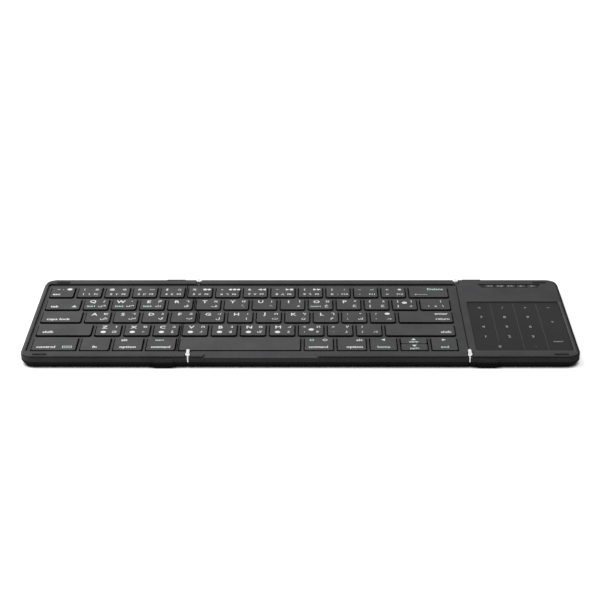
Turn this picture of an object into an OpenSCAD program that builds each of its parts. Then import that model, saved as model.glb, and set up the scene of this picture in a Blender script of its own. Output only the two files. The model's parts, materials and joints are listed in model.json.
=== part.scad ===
// Folding keyboard in three hinged panels, open flat.
// X runs left to right, Y front to back, Z up. The origin is on the desk, under the middle.

/* [Overall size] */
// Width of the open keyboard
total_w = 304.5; // [300:0.5:309]
// Depth of the keyboard, front to back
total_d = 98; // [96:0.5:102]
// Height of the rim above the desk
rim_z = 7.5; // [7.4:0.1:8.2]
// Radius of the four outer corners, seen from above
corner_r = 7; // [4:0.5:10]
// Height that the feet hold the case off the desk
foot_lift = 0.4; // [0.3:0.05:0.6]

/* [Panels] */
// Place of the left hinge axis, in key widths from the first gap
left_fold = 5.38; // [5.3:0.01:5.45]
// Width of the right wing, from its hinge axis to its outer side
right_panel_w = 60.3; // [58:0.25:61.5]
// Gap between two panels beside the keys
seam_gap = 0.5; // [0.3:0.05:0.7]
// Gap between two panels at the hinges, where the leaves stand
hinge_gap = 0.8; // [0.8:0.05:1.2]
// Gap between two panels that are folded face to face
fold_gap = 0.6; // [0.4:0.1:1]
// Wall of a panel along the stepped seam
seam_wall = 0.42; // [0.35:0.01:0.5]
// Height of the parting line between bottom cover and top case
split_z = 3; // [2.9:0.05:3.1]
// How far the cover's side leans in, from the parting line down
base_slope = 1.8; // [1:0.1:1.9]
// Chamfer along the top edge of the case
top_chamfer = 0.4; // [0.2:0.1:0.6]
// Width of the sloping edge at the left and right ends
end_slope_w = 1.6; // [1.2:0.1:1.8]
// Drop of the sloping edge at the left and right ends
end_slope_h = 0.95; // [0.6:0.05:1.1]
// Height of the groove below the chamfer
groove_h = 0.35; // [0.25:0.05:0.45]
// Depth of the groove below the chamfer
groove_in = 0.2; // [0.1:0.05:0.3]
// Thickness of the cover's floor
floor_t = 0.8; // [0.6:0.05:0.9]
// Wall of the case at its outer sides
side_wall = 1.6; // [1.4:0.1:1.8]
// Solid bar along the front and the back of each panel
bar_w = 6.7; // [6.5:0.1:7]
// Ledge on which the key plate lies
plate_seat = 1; // [0.8:0.1:1.1]

/* [Deck] */
// Width of the rim beside the first key of each row
side_rim_w = 2.4; // [2.2:0.05:2.8]
// Width of the front rim
front_rim_w = 5.7; // [5.4:0.1:5.9]
// Width of the back rim
back_rim_w = 5.6; // [5.4:0.1:5.9]
// Drop from the rim to the deck between the keys
deck_drop = 1.25; // [1:0.05:1.5]
// Thickness of the deck
deck_t = 1.15; // [0.9:0.05:1.3]
// Left end of the finger scoop in the front edge, from the left hinge axis
scoop_from = 7; // [5:0.5:12]
// Length of the finger scoop
scoop_l = 64.6; // [50:0.2:70]
// Depth of the finger scoop
scoop_h = 1.1; // [0.6:0.1:1.4]

/* [Keys] */
// Width of the field of keys, in letter keys
keys_across = 14.537; // [14.4:0.001:14.7]
// Depth of the field of keys, in rows of letter keys
rows_deep = 5.091; // [5:0.001:5.2]
// Distance from the case's side to the middle of the gap before the first key
key_margin_x = 4; // [3.8:0.05:4.3]
// Distance from the right hinge axis to the middle of the gap after the last key
key_margin_end = 4.7; // [4.4:0.1:6]
// Distance from the back edge to the middle of the gap behind the first row
key_margin_back = 8; // [7.8:0.1:8.4]
// Distance from the front edge to the middle of the gap before the last row
key_margin_front = 6.4; // [6.3:0.05:6.8]
// Width of the Esc key with its gaps, in letter keys
esc_u = 0.991; // [0.96:0.001:1.02]
// Width of the Tab key with its gaps, in letter keys
tab_u = 1.349; // [1.32:0.001:1.38]
// Width of the Caps Lock key with its gaps, in letter keys
caps_u = 1.528; // [1.5:0.001:1.56]
// Width of the left Shift key with its gaps, in letter keys
shift_u = 2.015; // [1.98:0.001:2.04]
// Width of the left Ctrl key with its gaps, in letter keys
ctrl_u = 1.642; // [1.61:0.001:1.67]
// Width of one of the other modifier keys with its gaps, in letter keys
mod_u = 1.114; // [1.09:0.001:1.13]
// Width of the space bar with its gaps, in letter keys
space_u = 4.235; // [4.2:0.005:4.27]
// Width of one arrow key with its gaps, in letter keys
arrow_u = 1.04; // [1.01:0.001:1.06]
// Gap between two key caps
key_gap = 2.6; // [2.4:0.05:2.8]
// Gap between the two half-height arrow keys
half_gap = 0.5; // [0.4:0.1:0.8]
// Clearance round a key cap in its opening
key_clear = 0.7; // [0.5:0.05:0.8]
// Corner radius of a key cap
cap_r = 1.1; // [0.6:0.1:1.8]
// Wall of a key cap's skirt
cap_wall = 0.9; // [0.7:0.05:1.1]
// Thickness of a key cap's top
cap_t = 0.85; // [0.7:0.05:1]
// Drop from the rim to the top of the keys
key_drop = 0.3; // [0.2:0.05:0.4]
// Travel of a key
key_travel = 1.1; // [0.9:0.05:1.2]

/* [Key mechanism] */
// Thickness of the steel key plate
plate_t = 0.3; // [0.2:0.05:0.35]
// Thickness of the membrane
membrane_t = 0.2; // [0.15:0.01:0.25]
// Radius of a rubber dome at its foot
dome_r = 2.4; // [2:0.1:2.6]
// Radius of a rubber dome at its top
dome_top_r = 1.3; // [1:0.1:1.5]
// Wall of a rubber dome
dome_wall = 0.45; // [0.35:0.05:0.55]
// Width of the outer scissor lever
lever_w = 10.6; // [10.2:0.1:11]
// Length of a scissor lever
lever_l = 9.4; // [9:0.1:10]
// Thickness of a scissor lever
lever_t = 0.7; // [0.5:0.05:0.8]
// Width of a lever's bars
lever_bar = 0.9; // [0.7:0.05:1]
// Gap between the key mechanism's pieces
play = 0.08; // [0.05:0.01:0.12]

/* [Hinges] */
// Radius of a hinge knuckle
knuckle_r = 1.15; // [1.1:0.05:1.3]
// Radius of a hinge pin
pin_r = 0.6; // [0.5:0.05:0.7]
// Radial clearance of the pin in its knuckles
pin_clear = 0.05; // [0.02:0.01:0.08]
// Clearance round the knuckles in the case's notch
notch_clear = 0.5; // [0.4:0.05:0.7]
// Length of a hinge barrel
barrel_l = 4; // [3.8:0.1:4.2]
// Distance from the panel's edge to the barrel
barrel_inset = 1.4; // [1.2:0.05:1.6]
// Gap between two knuckles
knuckle_gap = 0.1; // [0.08:0.01:0.15]
// Thickness of a hinge leaf
leaf_t = 0.3; // [0.25:0.01:0.35]
// Width of the leaf's foot under the top case
leaf_foot_w = 3.8; // [3.4:0.1:4]
// Thickness of the leaf's foot under the top case
leaf_foot_t = 0.4; // [0.3:0.05:0.5]
// Length of the leaf's foot, from the axis
leaf_foot_l = 9.3; // [9:0.1:11]
// Distance from a hinge axis to the screw through the leaf's foot
leaf_screw_x = 7; // [6.5:0.1:7.4]
// Height of a thickened block beside a hinge, out from the case
block_out = 0.4; // [0.2:0.1:0.5]
// Height of a thickened block's lower edge above the desk
block_low = 1.1; // [0.9:0.1:1.5]

/* [Touchpad] */
// Width of the touchpad glass
pad_w = 52.9; // [51:0.1:53]
// Depth of the touchpad glass
pad_d = 61.3; // [58:0.1:63]
// Distance from the right hinge axis to the glass
pad_x = 4.1; // [3.8:0.1:4.4]
// Distance from the front edge to the glass
pad_y = 6.5; // [6.2:0.1:7.5]
// Thickness of the touchpad glass
pad_t = 0.7; // [0.5:0.05:0.9]
// Drop from the rim to the glass
pad_drop = 0.3; // [0.2:0.05:0.5]
// Ledge under the edge of the glass
pad_ledge = 1.6; // [1.2:0.1:2]
// Thickness of the touch sensor board
sensor_t = 0.8; // [0.6:0.05:1]

/* [Media keys] */
// Number of media keys
media_n = 5; // [4:1:5]
// Distance between two media keys
media_pitch = 6.3; // [6.2:0.05:6.6]
// Width of a media key
media_w = 5.5; // [5.2:0.1:5.6]
// Depth of a media key
media_d = 3.8; // [3.2:0.1:3.9]
// Distance from the right hinge axis to the middle of the first media key
media_x = 19.5; // [18.5:0.1:20.5]
// Distance from the back edge to the middle of the media keys
media_y = 8.6; // [8.4:0.05:9]
// Depth of the band round the media keys
band_drop = 0.45; // [0.3:0.05:0.6]
// Thickness of the lip that holds a media key under the case
media_lip = 0.5; // [0.4:0.05:0.6]
// Travel of a media key
media_travel = 0.25; // [0.15:0.05:0.3]

/* [Small parts] */
// Length of a rubber bumper on the rim
bumper_l = 7.8; // [6:0.1:9]
// Width of a rubber bumper
bumper_w = 1.5; // [1.2:0.1:2]
// Distance from the keyboard's side to the middle of a bumper
bumper_x = 10.85; // [9.5:0.05:12]
// Depth of the bumper's seat in the rim
bumper_seat = 0.5; // [0.3:0.05:0.5]
// Radius of a magnet
magnet_r = 1.9; // [1.5:0.1:2]
// Height of a magnet
magnet_h = 2; // [1.5:0.1:2.2]
// Length of a foot
foot_l = 12; // [8:0.5:16]
// Width of a foot
foot_w = 3.4; // [2.5:0.1:5]
// Depth of the foot's seat in the cover
foot_seat = 0.3; // [0.2:0.05:0.35]
// Radius of a screw's shank
screw_r = 0.7; // [0.6:0.05:0.75]
// Radius of a screw's head
screw_head_r = 1.5; // [1.3:0.05:1.5]
// Height of a screw's head
screw_head_h = 0.6; // [0.5:0.05:0.7]
// Depth of a screw's head below the cover's face
screw_sink = 0.2; // [0.1:0.05:0.3]
// Clearance round a screw
screw_clear = 0.05; // [0.03:0.01:0.08]

/* [Electronics] */
// Distance from the right hinge axis to the middle of the charging socket
socket_x = 30; // [24:0.5:34]
// Outer width of the charging socket
socket_w = 8.94; // [8.9:0.01:9]
// Outer height of the charging socket
socket_h = 3.16; // [3.1:0.01:3.2]
// Length of the charging socket
socket_l = 7.6; // [7.4:0.1:7.6]
// Metal thickness of the charging socket
socket_t = 0.3; // [0.2:0.05:0.35]
// Width of the main circuit board
board_w = 50; // [44:1:52]
// Depth of the main circuit board
board_d = 21; // [18:0.5:24]
// Thickness of the main circuit board
board_t = 0.8; // [0.6:0.05:0.9]
// Height of the parts on the main circuit board
chip_h = 0.8; // [0.5:0.05:0.9]
// Width of the battery
battery_w = 50; // [40:1:54]
// Depth of the battery
battery_d = 38; // [30:1:42]
// Thickness of the battery
battery_t = 1.5; // [1.2:0.05:1.6]
// Width of a flex cable across a seam
flex_w = 10; // [8:0.5:11]
// Thickness of a flex cable
flex_t = 0.15; // [0.1:0.01:0.2]
// Height of a flex cable above the desk
flex_z = 2.4; // [2.3:0.05:2.45]

/* [Hidden] */
$fn = 48;

eps = 0.02;
function snap(v) = round(v * 100) / 100;
half_w = total_w / 2;
half_d = total_d / 2;
right_axis = half_w - right_panel_w;
first_x = key_margin_x - half_w;
last_x = right_axis - key_margin_end;
key_pitch = snap((last_x - first_x) / keys_across);
left_axis = snap(first_x + left_fold * key_pitch);
axis_z = rim_z + fold_gap / 2;
floor_z = foot_lift + floor_t;
deck_z = rim_z - deck_drop;
deck_under = deck_z - deck_t;
plate_top = split_z + plate_t;
membrane_top = plate_top + membrane_t;
key_top = rim_z - key_drop;
skirt_z = membrane_top + key_travel + 0.25;
cap_under = key_top - cap_t;

// Key layout: the middle lines of the gaps, row by row from the back
row_back = half_d - key_margin_back;
row_front = key_margin_front - half_d;
row_pitch = snap((row_back - row_front) / rows_deep);
row_y = [for (r = [0:4]) row_back - r * row_pitch];
row_line = concat(row_y, [row_front]);
function even_row(u, n) =
    concat([first_x], [for (i = [0:n]) snap(first_x + (u + i) * key_pitch)], [last_x]);
function running(list, i) = i < 0 ? 0 : list[i] + running(list, i - 1);
bottom_u = [ctrl_u, mod_u, mod_u, mod_u, space_u, mod_u, mod_u, arrow_u, arrow_u];
bottom_row = concat(
    [for (i = [-1:8]) snap(first_x + running(bottom_u, i) * key_pitch)],
    [last_x]
);
key_x = [even_row(esc_u, 12), even_row(tab_u, 12), even_row(caps_u, 11),
         even_row(shift_u, 10), bottom_row];
left_n = [5, 5, 5, 4, 4];     // keys of each row on the left wing
half_key = 8;                 // column of the last row that holds two half-height keys
function cell(r, i) = [key_x[r][i], key_x[r][i + 1], row_line[r + 1], row_line[r]];
half_y = (row_line[4] + row_line[5]) / 2;
arrow_down_cell = [key_x[4][half_key], key_x[4][half_key + 1],
                   row_line[5], half_y - half_gap / 2 + key_gap / 2];
arrow_up_cell = [key_x[4][half_key], key_x[4][half_key + 1],
                 half_y + half_gap / 2 - key_gap / 2, row_line[4]];
function row_cells(r, i0, i1) = [for (i = [i0:i1]) cell(r, i)];
function last_key(r) = len(key_x[r]) - 2;
left_cells = [for (r = [0:4]) each row_cells(r, 0, left_n[r] - 1)];
middle_openings = [for (r = [0:4]) each row_cells(r, left_n[r], last_key(r))];
middle_cells = concat(
    [for (r = [0:3]) each row_cells(r, left_n[r], last_key(r))],
    row_cells(4, left_n[4], half_key - 1),
    row_cells(4, half_key + 1, last_key(4)),
    [arrow_down_cell, arrow_up_cell]
);

// Seams: a list of X and a list of Y lines from back to front
rim_line_back = half_d - back_rim_w;
rim_line_front = front_rim_w - half_d;
left_seam_x = concat([left_axis], [for (r = [0:4]) key_x[r][left_n[r]]], [left_axis]);
left_seam_y = concat([half_d + 1, rim_line_back], [for (r = [1:4]) row_y[r]],
                     [rim_line_front, -half_d - 1]);
right_seam_x = [right_axis, right_axis, right_axis];
right_seam_y = [half_d + 1, rim_line_back, rim_line_front, -half_d - 1];
right_wall = 1.2;             // wall of the panels along the straight seam

// Places of the small parts
hinge_y = half_d - barrel_inset - barrel_l / 2;
screw_y = half_d - 3.6;
magnet_y = half_d - 3;
bumper_front_y = 2 - half_d;
bumper_back_y = half_d - 4.2;
magnet_top = rim_z - bumper_seat - 0.6;
left_magnet_x = bumper_x - half_w;
right_magnet_x = half_w - bumper_x;
left_screw_x = [left_magnet_x + 13.4, left_axis - leaf_screw_x];
middle_magnet_x = [2 * left_axis - left_magnet_x, 2 * right_axis - right_magnet_x];
middle_screw_x = [left_axis + leaf_screw_x, (middle_magnet_x[0] + middle_magnet_x[1]) / 2,
                  right_axis - leaf_screw_x];
right_screw_x = [right_axis + leaf_screw_x, right_magnet_x - 11.4];
foot_y = half_d - 11;
left_foot_x = [-half_w + 14, left_axis - 16];
middle_foot_x = [left_axis + 18, right_axis - 18];
right_foot_x = [right_axis + 14, half_w - 14];
post_r = 1.5;
battery_y = 15 - half_d;
post_y = half_d - 21.5;
left_posts = [for (x = [17, 42, 67], s = [-1:1]) [x - half_w, s * post_y]];
middle_posts = concat(
    [for (x = [15, 37, 59], s = [-1:1]) [left_axis + x, s * post_y]],
    [for (x = [20, 46, 71], y = [11 - half_d, battery_y + battery_d + 7.5])
        [right_axis - x, y]]
);
right_posts = [for (x = [12, 46], s = [-1:1]) [right_axis + x, s * (post_y - 2.5)]];
socket_mid = right_axis - socket_x;
socket_z = floor_z + 0.6 + socket_h / 2;
socket_back = half_d - 0.15;
flex_y = (row_y[1] + row_y[2]) / 2;
block_l = 11;
block_x = [left_axis - 8 - block_l, right_axis + 4];

charcoal = [0.27, 0.27, 0.28];
key_grey = [0.3, 0.3, 0.31];
pad_black = [0.15, 0.15, 0.16];
rubber_black = [0.1, 0.1, 0.1];
steel = [0.75, 0.76, 0.78];
board_green = [0.08, 0.3, 0.18];

// ---------------------------------------------------------------- shapes

module box(x0, x1, y0, y1, z0, z1) {
    translate([x0, y0, z0]) cube([x1 - x0, y1 - y0, z1 - z0]);
}

module rect(x0, x1, y0, y1) {
    translate([x0, y0]) square([x1 - x0, y1 - y0]);
}

// A rectangle with round corners
module round_rect(x0, x1, y0, y1, r) {
    rect(x0 + r, x1 - r, y0, y1);
    rect(x0, x1, y0 + r, y1 - r);
    for (x = [x0 + r, x1 - r], y = [y0 + r, y1 - r])
        translate([x, y]) circle(r = r);
}

module plate(z0, z1) {
    translate([0, 0, z0]) linear_extrude(z1 - z0) children();
}

module disc(x, y, r, z0, z1) {
    translate([x, y, z0]) cylinder(r = r, h = z1 - z0);
}

// A strip with round ends, lying along X
module stadium(x, y, l, w) {
    rect(x - (l - w) / 2, x + (l - w) / 2, y - w / 2, y + w / 2);
    for (s = [-1, 1]) translate([x + s * (l - w) / 2, y]) circle(r = w / 2);
}

module pill(x, y, l, w, z0, z1) {
    plate(z0, z1) stadium(x, y, l, w);
}

// A cylinder along Y round a hinge axis
module along_axis(x, y0, y1, r) {
    translate([x, y0, axis_z]) rotate([-90, 0, 0]) cylinder(r = r, h = y1 - y0);
}

// ---------------------------------------------------------------- panels

// Half of the case's section: from the middle line out to distance h
function case_edge(h) =
    let (lip = rim_z - top_chamfer - 0.1)
    [[h - base_slope, foot_lift], [h, split_z], [h, lip - groove_h],
     [h - groove_in, lip - groove_h], [h - groove_in, lip], [h, lip],
     [h, rim_z - top_chamfer], [h - top_chamfer, rim_z]];

function case_section(h) = concat(
    case_edge(h),
    [for (i = [len(case_edge(h)) - 1:-1:0]) [-case_edge(h)[i][0], case_edge(h)[i][1]]]
);

// The whole keyboard's outer shape, as one solid
module case_body() {
    cx = half_w - corner_r;
    cy = half_d - corner_r;
    difference() {
        union() {
            translate([-cx, 0, 0]) rotate([90, 0, 90])
                linear_extrude(2 * cx) polygon(case_section(half_d));
            translate([0, cy, 0]) rotate([90, 0, 0])
                linear_extrude(2 * cy) polygon(case_section(half_w));
            for (x = [-cx, cx], y = [-cy, cy])
                translate([x, y, 0]) rotate_extrude()
                    polygon(concat([[0, foot_lift]], case_edge(corner_r), [[0, rim_z]]));
        }
        end_slope_cut();
        mirror([1, 0, 0]) end_slope_cut();
    }
}

// What the sloping edge at the right end takes off
module end_slope_cut() {
    rise = end_slope_h / end_slope_w;
    translate([0, half_d + 1, 0]) rotate([90, 0, 0]) linear_extrude(2 * half_d + 2)
        polygon([[half_w - end_slope_w - 1, rim_z + rise],
                 [half_w + 1, rim_z - end_slope_h - rise], [half_w + 1, rim_z + 1]]);
}

// A stepped seam, thickened by half on each side and a little more at the hinges
module seam_band(xs, ys, half) {
    last = len(xs) - 1;
    for (i = [0:last]) {
        at_hinge = i == 0 || i == last;
        h = half + (at_hinge ? (hinge_gap - seam_gap) / 2 : 0);
        rect(xs[i] - h, xs[i] + h, ys[i + 1] - half, ys[i] + half);
    }
    for (i = [1:last])
        rect(min(xs[i - 1], xs[i]) - half, max(xs[i - 1], xs[i]) + half,
             ys[i] - half, ys[i] + half);
}

// Everything on one side of a seam: side -1 is left of it and 1 is right
module beside_seam(xs, ys, side) {
    far = side * (half_w + 5);
    for (i = [0:len(xs) - 1])
        rect(min(xs[i], far), max(xs[i], far), ys[i + 1], ys[i]);
}

module left_area(wall) {
    difference() {
        beside_seam(left_seam_x, left_seam_y, -1);
        seam_band(left_seam_x, left_seam_y, seam_gap / 2 + wall);
    }
}

module middle_area(wall, wall_r) {
    difference() {
        intersection() {
            beside_seam(left_seam_x, left_seam_y, 1);
            beside_seam(right_seam_x, right_seam_y, -1);
        }
        seam_band(left_seam_x, left_seam_y, seam_gap / 2 + wall);
        seam_band(right_seam_x, right_seam_y, seam_gap / 2 + wall_r);
    }
}

module right_area(wall) {
    difference() {
        beside_seam(right_seam_x, right_seam_y, 1);
        seam_band(right_seam_x, right_seam_y, seam_gap / 2 + wall);
    }
}

// The room inside the outer walls, side from the keyboard's sides, bar from front and back
module inside(side, bar) {
    rect(side - half_w, half_w - side, bar - half_d, half_d - bar);
}

// What every top case is cut by: room for the plate and the room above it
module case_room(top) {
    plate(split_z - 1, plate_top) intersection() {
        children();
        inside(side_wall, bar_w - plate_seat);
    }
    plate(plate_top - eps, top) intersection() {
        children();
        inside(side_wall + plate_seat, bar_w);
    }
}

// The room in a bottom cover, above its floor
module cover_room() {
    plate(floor_z, split_z + 1) intersection() {
        children();
        inside(side_wall + plate_seat, bar_w + plate_seat);
    }
}

module plate_shape(clear) {
    intersection() {
        children();
        inside(side_wall + clear, bar_w - plate_seat + clear);
    }
}

module sheet_shape(clear) {
    intersection() {
        children();
        inside(side_wall + plate_seat + clear, bar_w + clear);
    }
}

// ---------------------------------------------------------------- cuts

module screw_holes(xs) {
    for (x = xs, y = [-screw_y, screw_y]) {
        disc(x, y, screw_r + screw_clear, foot_lift - 1, rim_z - 1.6);
        disc(x, y, screw_head_r + 0.15, foot_lift - 1,
             foot_lift + screw_sink + screw_head_h);
    }
}

module foot_seats(xs) {
    for (x = xs, y = [-foot_y, foot_y])
        pill(x, y, foot_l + 0.1, foot_w + 0.1, foot_lift - 1, foot_lift + foot_seat);
}

module magnet_seats(xs) {
    for (x = xs, y = [-magnet_y, magnet_y])
        disc(x, y, magnet_r + 0.1, split_z - 1, magnet_top);
}

module bumper_seats(x) {
    for (y = [bumper_front_y, bumper_back_y])
        pill(x, y, bumper_l + 0.1, bumper_w + 0.1, rim_z - bumper_seat, rim_z + 1);
}

// Notches round the barrels, and seats for the feet of the leaves on one side
module hinge_cuts(axis, side) {
    for (s = [-1, 1]) {
        near = s * (hinge_y - barrel_l / 2 - 0.3);
        far = s * (half_d + 1);
        along_axis(axis, min(near, far), max(near, far), knuckle_r + notch_clear);
        x0 = axis + side * 0.1;
        x1 = axis + side * (leaf_foot_l + 0.2);
        box(min(x0, x1), max(x0, x1), s * hinge_y - leaf_foot_w / 2 - 0.1,
            s * hinge_y + leaf_foot_w / 2 + 0.1, split_z - 1, split_z + leaf_foot_t);
    }
}

module key_openings(cells) {
    grow = key_gap / 2 - key_clear;
    plate(split_z, rim_z + 1)
        for (c = cells)
            round_rect(c[0] + grow, c[1] - grow, c[2] + grow, c[3] - grow,
                       cap_r + key_clear);
}

// The sunken deck between the rims
module deck_cut() {
    plate(deck_z, rim_z + 1)
        round_rect(side_rim_w - half_w, right_axis + 5, rim_line_front, rim_line_back, 1.5);
}

module flex_slot(x) {
    box(x - 3, x + 3, flex_y - flex_w / 2 - 0.3, flex_y + flex_w / 2 + 0.3,
        flex_z - 0.2, flex_z + flex_t + 0.2);
}

module scoop_cut() {
    x0 = left_axis + scoop_from;
    run = 2 * scoop_h;
    intersection() {
        translate([x0, 0, 0]) rotate([90, 0, 90]) linear_extrude(scoop_l)
            polygon([[-half_d - 1, rim_z - scoop_h - scoop_h / run],
                     [-half_d + run + 1, rim_z + scoop_h / run],
                     [-half_d - 1, rim_z + 1]]);
        plate(0, rim_z + 2)
            polygon([[x0, -half_d - 1], [x0 + scoop_l, -half_d - 1],
                     [x0 + scoop_l - 4, -half_d + 4], [x0 + 4, -half_d + 4]]);
    }
}

module socket_shape(grow) {
    translate([socket_mid, socket_back - socket_l, socket_z]) rotate([-90, 0, 0])
        linear_extrude(socket_l)
            stadium(0, 0, socket_w + 2 * grow, socket_h + 2 * grow);
}

module socket_cut() {
    socket_shape(0.1);
    translate([0, 1, 0]) socket_shape(0.1);
    translate([0, -0.5, 0]) socket_shape(0.1);
}

// ---------------------------------------------------------------- pieces

module cover(posts) {
    difference() {
        intersection() {
            case_body();
            plate(0, split_z) children(0);
        }
        cover_room() children(1);
    }
    for (p = posts) disc(p[0], p[1], post_r, floor_z - eps, split_z);
}

module key_cap(c) {
    m = key_gap / 2;
    difference() {
        plate(skirt_z, key_top) round_rect(c[0] + m, c[1] - m, c[2] + m, c[3] - m, cap_r);
        plate(skirt_z - 1, cap_under)
            rect(c[0] + m + cap_wall, c[1] - m - cap_wall,
                 c[2] + m + cap_wall, c[3] - m - cap_wall);
    }
}

module keys(cells) {
    color(key_grey) for (c = cells) key_cap(c);
}

// A hollow rubber dome under the middle of a key
module dome(c) {
    deep = c[3] - c[2] - key_gap;
    foot = min(dome_r, deep / 2 - cap_wall - lever_bar - 0.4);
    top = cap_under - play;
    high = top - membrane_top;
    translate([(c[0] + c[1]) / 2, (c[2] + c[3]) / 2, membrane_top]) rotate_extrude()
        polygon([[foot - dome_wall, 0], [foot, 0], [dome_top_r, high * 0.75],
                 [dome_top_r, high], [0, high], [0, high - 0.9],
                 [dome_top_r - dome_wall, high * 0.75 - 0.3]]);
}

module lever(w, l, tilt) {
    rotate([tilt, 0, 0]) translate([0, 0, -lever_t / 2]) linear_extrude(lever_t) difference() {
        square([w, l], center = true);
        square([w - 2 * lever_bar, l - 2 * lever_bar], center = true);
    }
}

// Two crossed levers round a dome
module scissor(c) {
    deep = c[3] - c[2] - key_gap;
    l = min(lever_l, deep - 2 * cap_wall - 0.4);
    low = membrane_top + play;
    high = cap_under - play;
    tilt = asin((high - low - lever_t) / l);
    translate([(c[0] + c[1]) / 2, (c[2] + c[3]) / 2, (low + high) / 2]) {
        lever(lever_w, l, tilt);
        lever(lever_w - 2 * lever_bar - 0.3, l, -tilt);
    }
}

module magnets(xs) {
    color(steel) for (x = xs, y = [-magnet_y, magnet_y])
        disc(x, y, magnet_r, magnet_top - magnet_h, magnet_top);
}

module feet(xs) {
    color(rubber_black) for (x = xs, y = [-foot_y, foot_y])
        pill(x, y, foot_l, foot_w, 0, foot_lift + foot_seat);
}

module bumpers(x) {
    color(rubber_black) for (y = [bumper_front_y, bumper_back_y])
        pill(x, y, bumper_l, bumper_w, rim_z - bumper_seat, rim_z + fold_gap - 0.1);
}

module screws(xs) {
    head_z = foot_lift + screw_sink;
    color(steel) for (x = xs, y = [-screw_y, screw_y]) difference() {
        union() {
            disc(x, y, screw_head_r, head_z, head_z + screw_head_h);
            disc(x, y, screw_r, head_z + screw_head_h - eps, rim_z - 2);
        }
        translate([x, y, head_z - 1]) cylinder(r = 0.75, h = 1.35, $fn = 6);
    }
}

// Knuckles run front to back: outer, middle and inner, as shares of the barrel
function knuckle_y(i) =
    let (step = barrel_l / 4)
    [[0, step], [step, 3 * step], [3 * step, 4 * step]][i];

// One leaf of a hinge: side 1 is right of the axis, picks are the knuckles that it holds
module leaf(axis, side, end, picks) {
    y0 = end * hinge_y - barrel_l / 2;
    x0 = axis + side * 0.05;
    x1 = axis + side * (0.05 + leaf_t);
    xt = axis + side * leaf_foot_l;
    difference() {
        union() {
            for (i = picks) {
                k = knuckle_y(i) + [knuckle_gap / 2, -knuckle_gap / 2];
                along_axis(axis, y0 + k[0], y0 + k[1], knuckle_r);
                box(min(x0, x1), max(x0, x1), y0 + k[0], y0 + k[1],
                    split_z + leaf_foot_t / 2, axis_z - pin_r - 0.2);
            }
            box(min(x0, x1), max(x0, x1), y0, y0 + barrel_l,
                split_z, axis_z - knuckle_r - 0.15);
            box(min(x0, xt), max(x0, xt), end * hinge_y - leaf_foot_w / 2,
                end * hinge_y + leaf_foot_w / 2, split_z, split_z + leaf_foot_t);
        }
        along_axis(axis, y0 - 1, y0 + barrel_l + 1, pin_r + pin_clear);
        disc(axis + side * leaf_screw_x, end * screw_y, screw_r + screw_clear, 0, rim_z);
    }
}

module inner_leaves(axis, side) {
    color(steel) for (end = [-1, 1]) leaf(axis, side, end, [0, 2]);
}

module outer_leaves(axis, side) {
    color(steel) for (end = [-1, 1]) leaf(axis, side, end, [1]);
}

module hinge_pins(axis) {
    color(steel) for (end = [-1, 1]) {
        y0 = end * hinge_y - barrel_l / 2;
        along_axis(axis, y0 - 0.05, y0 + barrel_l + 0.05, pin_r);
        for (y = [y0 - 0.25, y0 + barrel_l]) along_axis(axis, y, y + 0.25, pin_r + 0.3);
    }
}

// A flat cable across a seam, with a folded reserve on the middle panel's side
module flex_cable(axis, seam, side) {
    wide = [flex_y - flex_w / 2, flex_y + flex_w / 2];
    x0 = seam + side * 9;
    x1 = seam - side * 12;
    x2 = seam - side * 4;
    fold = 0.35;
    color([0.75, 0.5, 0.2]) {
        box(min(x0, x1), max(x0, x1), wide[0], wide[1], flex_z, flex_z + flex_t);
        box(min(x1, x1 + side * flex_t), max(x1, x1 + side * flex_t), wide[0], wide[1],
            flex_z - fold, flex_z + flex_t);
        box(min(x1, x2), max(x1, x2), wide[0], wide[1], flex_z - fold,
            flex_z - fold + flex_t);
    }
}

// ---------------------------------------------------------------- left wing

module left_bottom_cover() {
    color(charcoal) difference() {
        union() {
            cover(left_posts) {
                left_area(0);
                left_area(seam_wall);
            }
            block_feet(block_x[0]);
        }
        screw_holes(left_screw_x);
        foot_seats(left_foot_x);
        flex_slot(left_seam_x[2]);
    }
}

module left_top_case() {
    color(charcoal) {
        difference() {
            union() {
                intersection() {
                    case_body();
                    plate(split_z, rim_z) left_area(0);
                }
                hinge_blocks(block_x[0]);
            }
            case_room(deck_under) left_area(seam_wall);
            deck_cut();
            key_openings(left_cells);
            hinge_cuts(left_axis, -1);
            screw_holes(left_screw_x);
            magnet_seats([left_magnet_x]);
            bumper_seats(left_magnet_x);
        }
    }
}

// Raised blocks on the front and back faces beside a hinge
module hinge_blocks(x) {
    box(x, x + block_l, half_d - 1, half_d + block_out, split_z, rim_z);
    box(x, x + block_l, -half_d - block_out, 1 - half_d, split_z, rim_z - 1.5);
}

// The lower part of the blocks, on the sloping edge of the cover
module block_feet(x) {
    for (s = [-1, 1]) {
        near = s * (half_d - base_slope);
        far = s * (half_d + block_out);
        box(x, x + block_l, min(near, far), max(near, far), block_low, split_z);
    }
}

module left_key_plate() {
    color(steel) plate(split_z, plate_top) plate_shape(0.1) left_area(seam_wall + 0.1);
}

module left_membrane() {
    color([0.8, 0.8, 0.75]) plate(plate_top, membrane_top)
        sheet_shape(0.1) left_area(seam_wall + 0.1);
}

module left_rubber_domes() {
    color([0.85, 0.85, 0.82]) for (c = left_cells) dome(c);
}

module left_scissors() {
    color([0.9, 0.9, 0.9]) for (c = left_cells) scissor(c);
}

module left_magnets() { magnets([left_magnet_x]); }

module left_feet() { feet(left_foot_x); }

module left_bumpers() { bumpers(left_magnet_x); }

module left_screws() { screws(left_screw_x); }

module esc_key() { keys(row_cells(0, 0, 0)); }

module number_keys_left() { keys(row_cells(0, 1, left_n[0] - 1)); }

module tab_key() { keys(row_cells(1, 0, 0)); }

module upper_letters_left() { keys(row_cells(1, 1, left_n[1] - 1)); }

module caps_lock_key() { keys(row_cells(2, 0, 0)); }

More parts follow.
